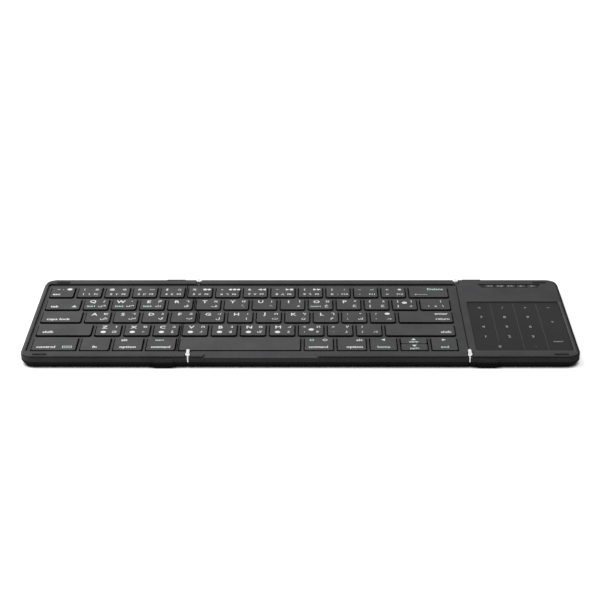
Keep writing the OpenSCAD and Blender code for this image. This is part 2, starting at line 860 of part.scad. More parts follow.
module home_letters_left() { keys(row_cells(2, 1, left_n[2] - 1)); }

module left_shift_key() { keys(row_cells(3, 0, 0)); }

module lower_letters_left() { keys(row_cells(3, 1, left_n[3] - 1)); }

module modifier_keys_left() { keys(row_cells(4, 0, left_n[4] - 1)); }

// ---------------------------------------------------------------- middle panel

module middle_bottom_cover() {
    color(charcoal) difference() {
        cover(middle_posts) {
            middle_area(0, 0);
            middle_area(seam_wall, right_wall);
        }
        screw_holes(middle_screw_x);
        foot_seats(middle_foot_x);
        flex_slot(left_seam_x[2]);
        flex_slot(right_axis);
        socket_cut();
    }
}

module middle_top_case() {
    color(charcoal) difference() {
        intersection() {
            case_body();
            plate(split_z, rim_z) middle_area(0, 0);
        }
        case_room(deck_under) middle_area(seam_wall, right_wall);
        deck_cut();
        key_openings(middle_openings);
        hinge_cuts(left_axis, 1);
        hinge_cuts(right_axis, -1);
        screw_holes(middle_screw_x);
        magnet_seats(middle_magnet_x);
        socket_cut();
        scoop_cut();
    }
}

module middle_key_plate() {
    color(steel) difference() {
        plate(split_z, plate_top) plate_shape(0.1) middle_area(seam_wall + 0.1, right_wall + 0.1);
        socket_notch();
    }
}

// Room for the socket's inner end
module socket_notch() {
    box(socket_mid - socket_w / 2 - 0.3, socket_mid + socket_w / 2 + 0.3,
        socket_back - socket_l - 0.3, half_d, split_z - 1, membrane_top + 1);
}

module middle_membrane() {
    color([0.8, 0.8, 0.75]) difference() {
        plate(plate_top, membrane_top)
            sheet_shape(0.1) middle_area(seam_wall + 0.1, right_wall + 0.1);
        socket_notch();
    }
}

module middle_rubber_domes() {
    color([0.85, 0.85, 0.82]) for (c = middle_cells) dome(c);
}

module middle_scissors() {
    color([0.9, 0.9, 0.9]) for (c = middle_cells) scissor(c);
}

module middle_magnets() { magnets(middle_magnet_x); }

module middle_feet() { feet(middle_foot_x); }

module middle_screws() { screws(middle_screw_x); }

board_x = right_axis - 8 - board_w;
board_y = socket_back - socket_l - board_d;
board_z = floor_z + board_t;
plug_y = max(board_y, flex_y + flex_w / 2) + 0.4;

module main_circuit_board() {
    color(board_green) {
        box(board_x, board_x + board_w, board_y, board_y + board_d, floor_z, board_z);
        box(board_x + 24, board_x + 31, board_y + 6, board_y + 13, board_z - eps,
            board_z + chip_h);
        box(board_x + 34, board_x + 37, board_y + 3, board_y + 5, board_z - eps,
            board_z + chip_h * 0.8);
        for (x = [board_x + 3, board_x + board_w - 14])
            box(x, x + 11, plug_y, plug_y + 2.3, board_z - eps, board_z + chip_h * 0.9);
    }
}

module wireless_module() {
    color(steel) box(board_x + 6, board_x + 19, board_y + 8, board_y + 17, board_z,
                     board_z + chip_h);
}

module battery() {
    x1 = right_axis - 12;
    y0 = battery_y;
    color([0.55, 0.57, 0.6]) {
        plate(floor_z, floor_z + battery_t)
            round_rect(x1 - battery_w, x1, y0, y0 + battery_d, 1.5);
        box(x1 - battery_w + 4, x1 - 4, y0 + battery_d - eps, y0 + battery_d + 3,
            floor_z, floor_z + battery_t / 2);
    }
}

module charging_socket() {
    back = socket_back - socket_l;
    color(steel) {
        difference() {
            socket_shape(0);
            translate([0, 0.4, 0]) socket_shape(-socket_t);
        }
        box(socket_mid - 3.3, socket_mid + 3.3, back + 0.2, socket_back - 1.4,
            socket_z - 0.35, socket_z + 0.35);
    }
}

module number_keys_right() { keys(row_cells(0, left_n[0], last_key(0) - 1)); }

module delete_key() { keys([cell(0, last_key(0))]); }

module upper_letters_right() { keys(row_cells(1, left_n[1], last_key(1) - 1)); }

module backslash_key() { keys([cell(1, last_key(1))]); }

module home_letters_right() { keys(row_cells(2, left_n[2], last_key(2) - 1)); }

module enter_key() { keys([cell(2, last_key(2))]); }

module lower_letters_right() { keys(row_cells(3, left_n[3], last_key(3) - 1)); }

module right_shift_key() { keys([cell(3, last_key(3))]); }

module space_bar() { keys([cell(4, left_n[4])]); }

module modifier_keys_right() { keys(row_cells(4, left_n[4] + 1, half_key - 2)); }

module arrow_keys() {
    keys([cell(4, half_key - 1), arrow_down_cell, arrow_up_cell, cell(4, last_key(4))]);
}

// ---------------------------------------------------------------- right wing

pad_x0 = right_axis + pad_x;
pad_y0 = pad_y - half_d;
pad_top = rim_z - pad_drop;
pad_r = 1.2;
top_under = rim_z - 1.4;
media_mid_y = half_d - media_y;
media_top = rim_z - 0.15;
media_room = min(top_under, pad_top - pad_t - 0.5);
media_under = media_room - 0.05 - media_lip;
switch_top = media_under - media_travel - 0.1;
strip_top = switch_top - 0.3;
function media_mid_x(i) = right_axis + media_x + i * media_pitch;

module right_bottom_cover() {
    color(charcoal) {
        difference() {
            union() {
                cover([]) {
                    right_area(0);
                    right_area(right_wall);
                }
                block_feet(block_x[1]);
            }
            screw_holes(right_screw_x);
            foot_seats(right_foot_x);
            flex_slot(right_axis);
        }
        for (p = right_posts) disc(p[0], p[1], post_r, floor_z - eps, sensor_under());
        for (i = [0, media_n - 1])
            disc(media_mid_x(i), media_mid_y, post_r, floor_z - eps, strip_top - sensor_t);
    }
}

function sensor_under() = pad_top - pad_t - sensor_t;

module right_top_case() {
    color(charcoal) difference() {
        union() {
            intersection() {
                case_body();
                plate(split_z, rim_z) right_area(0);
            }
            hinge_blocks(block_x[1]);
        }
        case_room(media_room) right_area(right_wall);
        plate(pad_top - pad_t, rim_z + 1)
            round_rect(pad_x0 - 0.15, pad_x0 + pad_w + 0.15,
                       pad_y0 - 0.15, pad_y0 + pad_d + 0.15, pad_r + 0.15);
        plate(split_z + 1, rim_z)
            rect(pad_x0 + pad_ledge, pad_x0 + pad_w - pad_ledge,
                 pad_y0 + pad_ledge, pad_y0 + pad_d - pad_ledge);
        media_band();
        hinge_cuts(right_axis, 1);
        screw_holes(right_screw_x);
        magnet_seats([right_magnet_x]);
        bumper_seats(right_magnet_x);
    }
}

// The sunken band round the media keys, with slanting ends, and the keys' openings
module media_band() {
    x0 = media_mid_x(0) - media_pitch;
    x1 = media_mid_x(media_n - 1) + media_pitch * 0.75;
    y0 = media_mid_y - media_d / 2 - 0.65;
    y1 = media_mid_y + media_d / 2 + 0.65;
    plate(rim_z - band_drop, rim_z + 1)
        polygon([[x0 + 1.5, y0], [x1 - 1.5, y0], [x1 + 0.5, y1], [x0 - 0.5, y1]]);
    for (i = [0:media_n - 1]) {
        plate(split_z + 1, rim_z) media_shape(i, 0.15);
        plate(split_z + 1, media_room) media_shape(i, 0.45);
    }
}

module media_shape(i, grow) {
    x = media_mid_x(i);
    round_rect(x - media_w / 2 - grow, x + media_w / 2 + grow,
               media_mid_y - media_d / 2 - grow, media_mid_y + media_d / 2 + grow, 0.6 + grow);
}

module touchpad_glass() {
    color(pad_black) plate(pad_top - pad_t, pad_top)
        round_rect(pad_x0, pad_x0 + pad_w, pad_y0, pad_y0 + pad_d, pad_r);
}

module touch_sensor_board() {
    in = pad_ledge + 0.2;
    color(board_green) {
        box(pad_x0 + in, pad_x0 + pad_w - in, pad_y0 + in, pad_y0 + pad_d - in,
            sensor_under(), pad_top - pad_t);
        box(media_mid_x(0) - 3.5, media_mid_x(media_n - 1) + 3.5,
            media_mid_y - 1.5, media_mid_y + 1.5, strip_top - sensor_t, strip_top);
        for (i = [0:media_n - 1])
            disc(media_mid_x(i), media_mid_y, 1.3, strip_top - eps, switch_top);
    }
}

module media_keys() {
    color(pad_black) for (i = [0:media_n - 1]) {
        plate(media_under, media_top) media_shape(i, 0);
        plate(media_under, media_under + media_lip) media_shape(i, 0.3);
    }
}

module right_magnets() { magnets([right_magnet_x]); }

module right_feet() { feet(right_foot_x); }

module right_bumpers() { bumpers(right_magnet_x); }

module right_screws() { screws(right_screw_x); }

// ---------------------------------------------------------------- hinges

module left_hinge_pins() { hinge_pins(left_axis); }

module left_hinge_inner_leaves() { inner_leaves(left_axis, 1); }

module left_hinge_outer_leaves() { outer_leaves(left_axis, -1); }

module left_flex_cable() { flex_cable(left_axis, left_seam_x[2], -1); }

module right_hinge_pins() { hinge_pins(right_axis); }

module right_hinge_inner_leaves() { inner_leaves(right_axis, -1); }

module right_hinge_outer_leaves() { outer_leaves(right_axis, 1); }

module right_flex_cable() { flex_cable(right_axis, right_axis, 1); }

left_bottom_cover();
left_top_case();
left_key_plate();
left_membrane();
left_rubber_domes();
left_scissors();
left_magnets();
left_feet();
left_bumpers();
left_screws();
esc_key();
number_keys_left();
tab_key();
upper_letters_left();
caps_lock_key();
home_letters_left();
left_shift_key();
lower_letters_left();
modifier_keys_left();
middle_bottom_cover();
middle_top_case();
middle_key_plate();
middle_membrane();
middle_rubber_domes();
middle_scissors();
middle_magnets();
middle_feet();
middle_screws();
main_circuit_board();
wireless_module();
battery();
charging_socket();
number_keys_right();
delete_key();
upper_letters_right();
backslash_key();
home_letters_right();
enter_key();
lower_letters_right();
right_shift_key();
space_bar();
modifier_keys_right();
arrow_keys();
right_bottom_cover();
right_top_case();
touchpad_glass();
touch_sensor_board();
media_keys();
right_magnets();
right_feet();
right_bumpers();
right_screws();
left_hinge_pins();
left_hinge_inner_leaves();
left_hinge_outer_leaves();
left_flex_cable();
right_hinge_pins();
right_hinge_inner_leaves();
right_hinge_outer_leaves();
right_flex_cable();
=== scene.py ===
"""Dresses the folding keyboard: case, printed caps, touchpad, hinges and inner parts."""

import json
import math

import bmesh
import bpy
from bpy.props import FloatProperty, FloatVectorProperty, IntProperty, PointerProperty
from mathutils import Matrix, Vector

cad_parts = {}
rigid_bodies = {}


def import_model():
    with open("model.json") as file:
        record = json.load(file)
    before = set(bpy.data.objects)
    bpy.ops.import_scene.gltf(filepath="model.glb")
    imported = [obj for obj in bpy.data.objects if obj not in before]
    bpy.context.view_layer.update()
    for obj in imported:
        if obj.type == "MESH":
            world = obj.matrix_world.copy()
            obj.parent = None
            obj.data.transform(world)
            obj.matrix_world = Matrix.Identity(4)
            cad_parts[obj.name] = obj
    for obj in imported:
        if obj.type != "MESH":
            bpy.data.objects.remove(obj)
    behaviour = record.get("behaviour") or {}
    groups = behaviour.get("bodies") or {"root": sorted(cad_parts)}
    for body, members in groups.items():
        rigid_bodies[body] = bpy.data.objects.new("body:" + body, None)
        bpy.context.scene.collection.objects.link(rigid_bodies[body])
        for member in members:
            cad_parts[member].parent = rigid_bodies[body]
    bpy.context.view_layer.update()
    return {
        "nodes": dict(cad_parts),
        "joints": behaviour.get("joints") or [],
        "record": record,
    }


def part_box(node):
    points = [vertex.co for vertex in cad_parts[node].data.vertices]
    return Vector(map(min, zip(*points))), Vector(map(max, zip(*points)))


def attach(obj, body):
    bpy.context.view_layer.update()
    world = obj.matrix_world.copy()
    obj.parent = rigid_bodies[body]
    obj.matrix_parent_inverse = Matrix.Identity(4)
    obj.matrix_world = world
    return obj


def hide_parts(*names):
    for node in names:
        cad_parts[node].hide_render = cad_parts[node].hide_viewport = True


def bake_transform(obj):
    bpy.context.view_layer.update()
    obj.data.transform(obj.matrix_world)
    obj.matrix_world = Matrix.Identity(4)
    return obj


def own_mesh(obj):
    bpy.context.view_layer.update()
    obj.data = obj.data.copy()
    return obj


bl_info = {
    "name": "Folding keyboard",
    "version": (1, 0, 0),
    "blender": (4, 5, 0),
    "location": "3D View > Sidebar > Keyboard",
    "description": "Builds the looks of a three-panel folding keyboard on its CAD frame",
    "category": "Object",
}

MM = 0.001
ROUND_BELOW = math.radians(32)  # an edge that turns by less is shaded as round
SAME_PLACE = 1e-6  # points nearer than this are one point
SAME_HEIGHT = 1e-7

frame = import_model()
NODES = frame["nodes"]
BODY_OF = {n: b for b, ns in frame["record"]["behaviour"]["bodies"].items() for n in ns}
AXIS = {j["child"]: j["pos_m"][0]  # how far across each wing's hinge axis lies
        for j in frame["joints"] if j["child"].endswith("_wing")}


# ---------------------------------------------------------------- settings


def colour(name, description, default):
    """A colour property."""
    return FloatVectorProperty(
        name=name, description=description, default=default, size=3,
        min=0.0, max=1.0, subtype="COLOR",
    )


def length(name, description, default):
    """A length property, in metres."""
    return FloatProperty(
        name=name, description=description, default=default, min=0.0,
        unit="LENGTH", subtype="DISTANCE", precision=5,
    )


class StageSettings(bpy.types.PropertyGroup):
    """Camera, lamp, sky and floor."""

    lens: FloatProperty(
        name="Lens", description="Focal length on a 36 mm sensor, in millimetres",
        default=92.4, min=20.0)
    pitch: FloatProperty(
        name="Pitch", description="How far the camera looks down",
        default=math.radians(25.64), subtype="ANGLE")
    place: FloatVectorProperty(
        name="Camera place", description="Where the camera stands",
        default=(0.0056, -0.7861, 0.3949), size=3, unit="LENGTH", subtype="TRANSLATION")
    shift: FloatProperty(
        name="Shift", description="Sideways shift of the picture", default=-0.0178)
    lamp: FloatProperty(
        name="Lamp power", description="Power of the large lamp overhead, in watts",
        default=10.4, min=0.0)
    lamp_size: length("Lamp size", "Side of the lamp", 0.8)
    lamp_place: FloatVectorProperty(
        name="Lamp place", description="Where the lamp hangs, facing the keyboard",
        default=(-0.45, 0.1, 0.75), size=3, unit="LENGTH", subtype="TRANSLATION")
    sky: FloatProperty(
        name="Sky strength", description="Light from all round", default=0.02, min=0.0)
    floor_colour: colour("Floor", "Colour of the floor", (0.62, 0.62, 0.62))
    floor_reach: length("Floor reach", "How far the floor goes to each side", 6.0)
    shadow: length("Contact shadow", "How far the contact shadow reaches", 0.004)


class CaseSettings(bpy.types.PropertyGroup):
    """Moulded case."""

    colour: colour("Case", "Colour of the case", (0.069, 0.069, 0.0715))
    grain: length("Grain", "Size of the moulded grain", 0.00018)
    roughness: FloatProperty(
        name="Roughness", description="How matt the case is", default=0.9, min=0, max=1)
    # The bottom covers keep only this share of the case's colour, as painted shade rather
    # than a colour of their own.
    underside: FloatProperty(
        name="Underside", description="Colour of the underside as a share of the case's",
        default=0.5, min=0, max=1)


class KeySettings(bpy.types.PropertyGroup):
    """Key caps."""

    colour: colour("Caps", "Colour of the key caps", (0.08, 0.08, 0.0825))
    grain: length("Grain", "Size of the moulded grain", 0.00014)
    roughness: FloatProperty(
        name="Roughness", description="How matt the caps are", default=0.85, min=0, max=1)
    corner: length("Corner", "Corner radius of a cap, seen from above", 0.0011)
    edge: length("Edge", "Rounding along the top edge of a cap", 0.00018)
    wall: length("Wall", "Wall of a cap's skirt", 0.0009)
    top: length("Top", "Thickness of a cap's top", 0.00085)
    corner_steps: IntProperty(
        name="Corner steps", description="Faces round one corner", default=5,
        min=2, max=12)


class PrintSettings(bpy.types.PropertyGroup):
    """Printed legends."""

    white: colour("White ink", "Colour of the main legends", (0.85, 0.85, 0.85))
    teal: colour("Teal ink", "Colour of the second legends", (0.6, 0.77, 0.71))
    grey: colour("Pad ink", "Colour of the legends on the touchpad", (0.5, 0.5, 0.5))
    letter: length("Letter", "Type size of the letters", 0.0047)
    digit: length("Digit", "Type size of the digits and signs", 0.0031)
    small: length("Small", "Type size of the second alphabets", 0.0034)
    word: length("Word", "Type size of the words", 0.0035)
    mark: length("Mark", "Type size of the small marks", 0.0026)
    lift: length("Lift", "Height of the ink above its surface", 0.000015)


class PadSettings(bpy.types.PropertyGroup):
    """Touchpad and media keys."""

    glass: colour("Glass", "Colour of the coated glass", (0.011, 0.011, 0.0115))
    line: colour("Line", "Colour of the lines on the glass", (0.0132, 0.0132, 0.0137))
    edge: length("Edge", "Rounding along the edge of the glass", 0.00022)
    media: colour("Media keys", "Colour of the media keys", (0.03, 0.03, 0.031))
    mark: colour("Media marks", "Colour of the marks on the media keys", (0.3, 0.3, 0.3))


class MetalSettings(bpy.types.PropertyGroup):
    """Hinges and key plates."""

    steel: colour("Hinge steel", "Colour of the hinges", (0.83, 0.84, 0.86))
    sheet: colour("Sheet steel", "Colour of the coated key plates", (0.03, 0.03, 0.032))
    roughness: FloatProperty(
        name="Roughness", description="How matt the hinges are", default=0.22,
        min=0, max=1)


class InsideSettings(bpy.types.PropertyGroup):
    """Colours of the small parts below and inside the case."""

    foot: colour("Feet", "Rubber of the feet", (0.022, 0.022, 0.023))
    bumper: colour("Bumpers", "Rubber of the bumpers", (0.012, 0.012, 0.012))
    film: colour("Film", "Film of the membranes", (0.02, 0.02, 0.02))
    silicone: colour("Silicone", "Clear rubber of the domes", (0.66, 0.66, 0.62))
    nylon: colour("Nylon", "Plastic of the scissor levers", (0.7, 0.7, 0.68))
    board: colour("Board", "Solder mask of the circuit boards", (0.012, 0.07, 0.035))
    track: colour("Tracks", "Tracks under the solder mask", (0.03, 0.16, 0.07))
    shield: colour("Shield", "Tin cover of the wireless module", (0.62, 0.62, 0.6))
    foil: colour("Foil", "Foil round the battery", (0.5, 0.51, 0.54))
    flex: colour("Flat cables", "Film of the flat cables", (0.03, 0.02, 0.012))
    screw: colour("Screws", "Plated steel of the screws", (0.2, 0.2, 0.21))
    nickel: colour("Magnets", "Nickel plate of the magnets", (0.68, 0.67, 0.64))


SETTINGS = {
    "keyboard_stage": StageSettings,
    "keyboard_case": CaseSettings,
    "keyboard_keys": KeySettings,
    "keyboard_print": PrintSettings,
    "keyboard_pad": PadSettings,
    "keyboard_metal": MetalSettings,
    "keyboard_inside": InsideSettings,
}


# ---------------------------------------------------------------- finishes
# A noise texture keeps mostly near one half, so these spans of it are stretched.

TINT_SPAN = (0.35, 0.65)
RUB_SPAN = (0.3, 0.7)
TRACKS_PER_METRE = 420.0


def finish(name, base, roughness, metallic=0.0, **sockets):
    """A new material with its shader set, and a node that gives object coordinates."""
    mat = bpy.data.materials.new(name)
    mat.use_nodes = True
    mat.diffuse_color = (*base, 1.0)
    shader = mat.node_tree.nodes["Principled BSDF"]
    shader.inputs["Base Color"].default_value = (*base, 1.0)
    shader.inputs["Roughness"].default_value = roughness
    shader.inputs["Metallic"].default_value = metallic
    for key, value in sockets.items():
        shader.inputs[key.replace("_", " ")].default_value = value
    place = mat.node_tree.nodes.new("ShaderNodeTexCoord")
    place.name = "Place"
    return mat


def shader_input(mat, name):
    """An input of the material's shader."""
    return mat.node_tree.nodes["Principled BSDF"].inputs[name]


def combine(tree, operation, first, second):
    """The result of a maths node over two outputs."""
    maths = tree.nodes.new("ShaderNodeMath")
    maths.operation = operation
    tree.links.new(first, maths.inputs[0])
    tree.links.new(second, maths.inputs[1])
    return maths.outputs[0]


def texture(mat, kind, scale):
    """A texture node over the object coordinates times that scale."""
    tree = mat.node_tree
    mapping = tree.nodes.new("ShaderNodeMapping")
    mapping.inputs["Scale"].default_value = scale
    tree.links.new(tree.nodes["Place"].outputs["Object"], mapping.inputs["Vector"])
    pattern = tree.nodes.new(kind)
    pattern.inputs["Scale"].default_value = 1.0
    tree.links.new(mapping.outputs["Vector"], pattern.inputs["Vector"])
    return pattern


def noise(mat, size, detail=3.0, stretch=(1.0, 1.0, 1.0)):
    """Noise whose grains are about that size, in metres."""
    pattern = texture(mat, "ShaderNodeTexNoise", [s / size for s in stretch])
    pattern.inputs["Detail"].default_value = detail
    return pattern.outputs["Fac"]


def tint(mat, source, base, spread):
    """Lets the base colour vary by the spread round its own value."""
    tree = mat.node_tree
    ramp = tree.nodes.new("ShaderNodeValToRGB")
    dark, pale = ramp.color_ramp.elements
    dark.position, pale.position = TINT_SPAN
    dark.color = (*[c * (1 - spread) for c in base], 1.0)
    pale.color = (*[min(1.0, c * (1 + spread)) for c in base], 1.0)
    tree.links.new(source, ramp.inputs["Fac"])
    tree.links.new(ramp.outputs["Color"], shader_input(mat, "Base Color"))


def rub(mat, source, low, high):
    """Lets the roughness vary between two values."""
    tree = mat.node_tree
    spread = tree.nodes.new("ShaderNodeMapRange")
    spread.inputs["From Min"].default_value = RUB_SPAN[0]
    spread.inputs["From Max"].default_value = RUB_SPAN[1]
    spread.inputs["To Min"].default_value = low
    spread.inputs["To Max"].default_value = high
    tree.links.new(source, spread.inputs["Value"])
    tree.links.new(spread.outputs["Result"], shader_input(mat, "Roughness"))


def shade(mat, low, high, share):
    """Scales the tinted base colour inside a box, in object coordinates."""
    tree = mat.node_tree
    split = tree.nodes.new("ShaderNodeSeparateXYZ")
    tree.links.new(tree.nodes["Place"].outputs["Object"], split.inputs["Vector"])
    inside = None
    for i in range(3):
        near = tree.nodes.new("ShaderNodeMath")
        near.operation = "COMPARE"
        near.inputs[1].default_value = (low[i] + high[i]) / 2
        near.inputs[2].default_value = (high[i] - low[i]) / 2
        tree.links.new(split.outputs[i], near.inputs[0])
        inside = (combine(tree, "MULTIPLY", inside, near.outputs[0]) if inside
                  else near.outputs[0])
    level = tree.nodes.new("ShaderNodeMapRange")
    level.inputs["To Min"].default_value = 1.0
    level.inputs["To Max"].default_value = share
    tree.links.new(inside, level.inputs["Value"])
    colour_in = shader_input(mat, "Base Color")
    scale = tree.nodes.new("ShaderNodeVectorMath")
    scale.operation = "SCALE"
    tree.links.new(colour_in.links[0].from_socket, scale.inputs["Vector"])
    tree.links.new(level.outputs["Result"], scale.inputs["Scale"])
    tree.links.new(scale.outputs["Vector"], colour_in)


def relief(mat, source, depth, strength=0.6):
    """Raises the surface by a texture, to that depth in metres."""
    tree = mat.node_tree
    bump = tree.nodes.new("ShaderNodeBump")
    bump.inputs["Strength"].default_value = strength
    bump.inputs["Distance"].default_value = depth
    tree.links.new(source, bump.inputs["Height"])
    tree.links.new(bump.outputs["Normal"], shader_input(mat, "Normal"))


def moulded(name, base, roughness, grain, gloss=0.12):
    """Fine matt moulded plastic: an even grain, and slow changes in colour and polish."""
    mat = finish(name, base, roughness, Specular_IOR_Level=gloss)
    tint(mat, noise(mat, 0.012, 5.0), base, 0.08)
    rub(mat, noise(mat, 0.02, 4.0), roughness - 0.05, roughness + 0.06)
    relief(mat, noise(mat, grain, 2.0), 0.00004, 0.6)
    return mat


def rubber(name, base):
    """Dull rubber with a fine speckle."""
    mat = finish(name, base, 0.85, Specular_IOR_Level=0.3)
    tint(mat, noise(mat, 0.0005, 3.0), base, 0.18)
    relief(mat, noise(mat, 0.00025, 2.0), 0.00003)
    return mat


def metal(name, base, roughness, along=(1.0, 1.0, 1.0), size=0.0004):
    """Metal with fine lines along one direction."""
    mat = finish(name, base, roughness, metallic=1.0)
    lines = noise(mat, size, 4.0, along)
    tint(mat, lines, base, 0.06)
    rub(mat, lines, max(0.05, roughness - 0.07), roughness + 0.08)
    relief(mat, lines, 0.000008, 0.35)
    return mat


def ink(name, base):
    """Printed ink with a little unevenness."""
    mat = finish(name, base, 0.6, Specular_IOR_Level=0.3)
    tint(mat, noise(mat, 0.0006, 3.0), base, 0.06)
    return mat


def circuit(name, base, trace):
    """Solder mask over fine copper tracks."""
    mat = finish(name, base, 0.38, Specular_IOR_Level=0.5)
    tracks = texture(mat, "ShaderNodeTexBrick", [TRACKS_PER_METRE] * 3)
    tracks.inputs["Mortar Size"].default_value = 0.035
    tracks.inputs["Color1"].default_value = (*base, 1.0)
    tracks.inputs["Color2"].default_value = (*[c * 0.8 for c in base], 1.0)
    tracks.inputs["Mortar"].default_value = (*trace, 1.0)
    mat.node_tree.links.new(tracks.outputs["Color"], shader_input(mat, "Base Color"))
    relief(mat, tracks.outputs["Fac"], 0.00002, 0.4)
    return mat


# ---------------------------------------------------------------- shapes


def dress(node, mat):
    """Gives a CAD node its finish."""
    slots = NODES[node].data.materials
    slots.clear()
    slots.append(mat)


def put(obj):
    """Puts an object into the scene."""
    bpy.context.scene.collection.objects.link(obj)
    return obj


def add_piece(name, bm, mats, body, replaces=()):
    """Turns a bmesh into a piece that rides on a body, where one is given."""
    mesh = bpy.data.meshes.new(name)
    for face in bm.faces:
        face.smooth = True
    for edge in bm.edges:
        edge.smooth = (len(edge.link_faces) == 2
                       and edge.calc_face_angle(0.0) < ROUND_BELOW)
    bm.to_mesh(mesh)
    bm.free()
    for mat in mats:
        mesh.materials.append(mat)
    piece = put(bpy.data.objects.new(name, mesh))
    piece.modifiers.new("even_normals", "WEIGHTED_NORMAL").keep_sharp = True
    if body:
        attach(piece, body)
    if replaces:
        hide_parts(*replaces)
    return piece


def span(points):
    """The box round some points."""
    return (Vector([min(p[i] for p in points) for i in range(3)]),
            Vector([max(p[i] for p in points) for i in range(3)]))


def solids_of(node):
    """The boxes of a node's separate solids, from left to right, then front to back."""
    bm = bmesh.new()
    bm.from_mesh(NODES[node].data)
    bmesh.ops.remove_doubles(bm, verts=bm.verts, dist=SAME_PLACE)
    left, boxes = set(bm.verts), []
    while left:
        todo = [left.pop()]
        seen = list(todo)
        while todo:
            vert = todo.pop()
            for link in vert.link_edges:
                other = link.other_vert(vert)
                if other in left:
                    left.remove(other)
                    todo.append(other)
                    seen.append(other)
        boxes.append(span([v.co for v in seen]))
    bm.free()
    return sorted(boxes, key=lambda b: (round(b[0].x, 4), b[0].y))


def field():
    """The box round all the key caps."""
    return span([corner for node in KEY_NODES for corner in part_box(node)])


def level_at(part, z):
    """Whether an edge or a face lies flat at that height."""
    return all(abs(v.co.z - z) < SAME_HEIGHT for v in part.verts)


def block(bm, low, high):
    """A plain block. Returns its corners."""
    made = bmesh.ops.create_cube(bm, size=1.0)["verts"]
    bmesh.ops.scale(bm, vec=high - low, verts=made)
    bmesh.ops.translate(bm, vec=(high + low) / 2, verts=made)
    return made


def rounded_block(bm, low, high, corner, top=0.0, bottom=0.0, steps=5):
    """A block with round corners seen from above, and rounded top or bottom edges.

    Returns its faces.
    """
    start = len(bm.verts)
    upright = [e for e in {e for v in block(bm, low, high) for e in v.link_edges}
               if abs(e.verts[0].co.z - e.verts[1].co.z) > SAME_PLACE]
    bmesh.ops.bevel(bm, geom=upright, offset=corner, segments=steps, profile=0.5,
                    affect="EDGES", material=-1)
    for round_by, z in ((top, high.z), (bottom, low.z)):
        if round_by:
            bm.verts.ensure_lookup_table()
            edges = {e for v in bm.verts[start:] for e in v.link_edges}
            bmesh.ops.bevel(bm, geom=[e for e in edges if level_at(e, z)],
                            offset=round_by, segments=3, profile=0.5, affect="EDGES",
                            material=-1)
    bm.verts.ensure_lookup_table()
    return list({f for v in bm.verts[start:] for f in v.link_faces})


def hollow_out(bm, faces, z, wall, deep):
    """Sinks a hollow into the flat face at that height, and leaves a wall round it."""
    flat = [f for f in faces if level_at(f, z)]
    bmesh.ops.inset_region(bm, faces=flat, thickness=wall, use_even_offset=True)
    sunk = bmesh.ops.extrude_face_region(bm, geom=flat)
    up = [g for g in sunk["geom"] if isinstance(g, bmesh.types.BMVert)]
    bmesh.ops.translate(bm, vec=(0, 0, deep), verts=up)
    bmesh.ops.delete(bm, geom=flat, context="FACES")


_glyphs = {}
WORD_MIDDLE = 0.33  # middle height of a word above its base line, at type size 1


def glyph_mesh(text, align, weight):
    """The flat mesh of a piece of text at type size 1."""
    key = (text, align, weight)
    if key not in _glyphs:
        curve = bpy.data.curves.new("legend", "FONT")
        curve.body = text
        curve.align_x = align
        curve.resolution_u = 2
        curve.offset = weight
        holder = put(bpy.data.objects.new("legend", curve))
        bpy.context.view_layer.update()
        _glyphs[key] = bpy.data.meshes.new_from_object(
            holder.evaluated_get(bpy.context.evaluated_depsgraph_get()))
        bpy.data.objects.remove(holder)
    return _glyphs[key]


def write(bm, text, x, y, z, size, align="CENTER", mat=0, wide=1.0, weight=0.02):
    """Prints text with its middle height at y."""
    mesh = glyph_mesh(text, align, weight)
    old = len(bm.faces)
    heights = [v.co.y for v in mesh.vertices]
    middle = (max(heights) + min(heights)) / 2 if len(text) == 1 else WORD_MIDDLE
    copy = mesh.copy()
    copy.transform(Matrix.Translation((x, y, z))
                   @ Matrix.Diagonal((size * wide, size, size, 1.0))
                   @ Matrix.Translation((0, -middle, 0)))
    bm.from_mesh(copy)
    bpy.data.meshes.remove(copy)
    bm.faces.ensure_lookup_table()
    for face in bm.faces[old:]:
        face.material_index = mat


def place_print(bm, verts, middle, size, mat):
    """Stretches a flat shape of size 1, and gives it its place and its ink."""
    bmesh.ops.scale(bm, vec=(*size, 1), verts=verts)
    bmesh.ops.translate(bm, vec=middle, verts=verts)
    for face in {f for v in verts for f in v.link_faces}:
        face.material_index = mat


def spot(bm, x, y, z, w, h, mat):
    """A printed oval."""
    made = bmesh.ops.create_circle(bm, cap_ends=True, segments=16, radius=0.5)["verts"]
    place_print(bm, made, (x, y, z), (w, h), mat)


def bar(bm, x0, x1, y0, y1, z, mat):
    """A printed flat bar."""
    made = bmesh.ops.create_grid(bm, x_segments=1, y_segments=1, size=0.5)["verts"]
    place_print(bm, made, ((x0 + x1) / 2, (y0 + y1) / 2, z), (x1 - x0, y1 - y0), mat)


def outline(bm, x, y, z, w, h, line, mat):
    """A printed frame."""
    x0, x1, y0, y1 = x - w / 2, x + w / 2, y - h / 2, y + h / 2
    bar(bm, x0, x1, y1 - line, y1, z, mat)
    bar(bm, x0, x1, y0, y0 + line, z, mat)
    bar(bm, x0, x0 + line, y0 + line, y1 - line, z, mat)
    bar(bm, x1 - line, x1, y0 + line, y1 - line, z, mat)


# ---------------------------------------------------------------- legends
# Each mark is (text, across, up, kind), and a fifth item where its ink is teal. Across and
# up are shares of the cap's top, from its left and its front. The kind names a type size,
# with < or > after it where across is the text's left or right end, or it is spot or frame.

LEFT, RIGHT = 0.1, 0.9


def digit_key(main, shifted, other, lock, *mark):
    """A number key: the mark is its small sign, and its ink where that is teal."""
    marks = [(main, 0.24, 0.26, "digit"), (shifted, 0.24, 0.72, "digit"),
             (lock, 0.78, 0.26, "mark"), (mark[0], 0.78, 0.72, "mark", *mark[1:])]
    if other:
        marks.append((other, 0.49, 0.26, "digit"))
    return marks


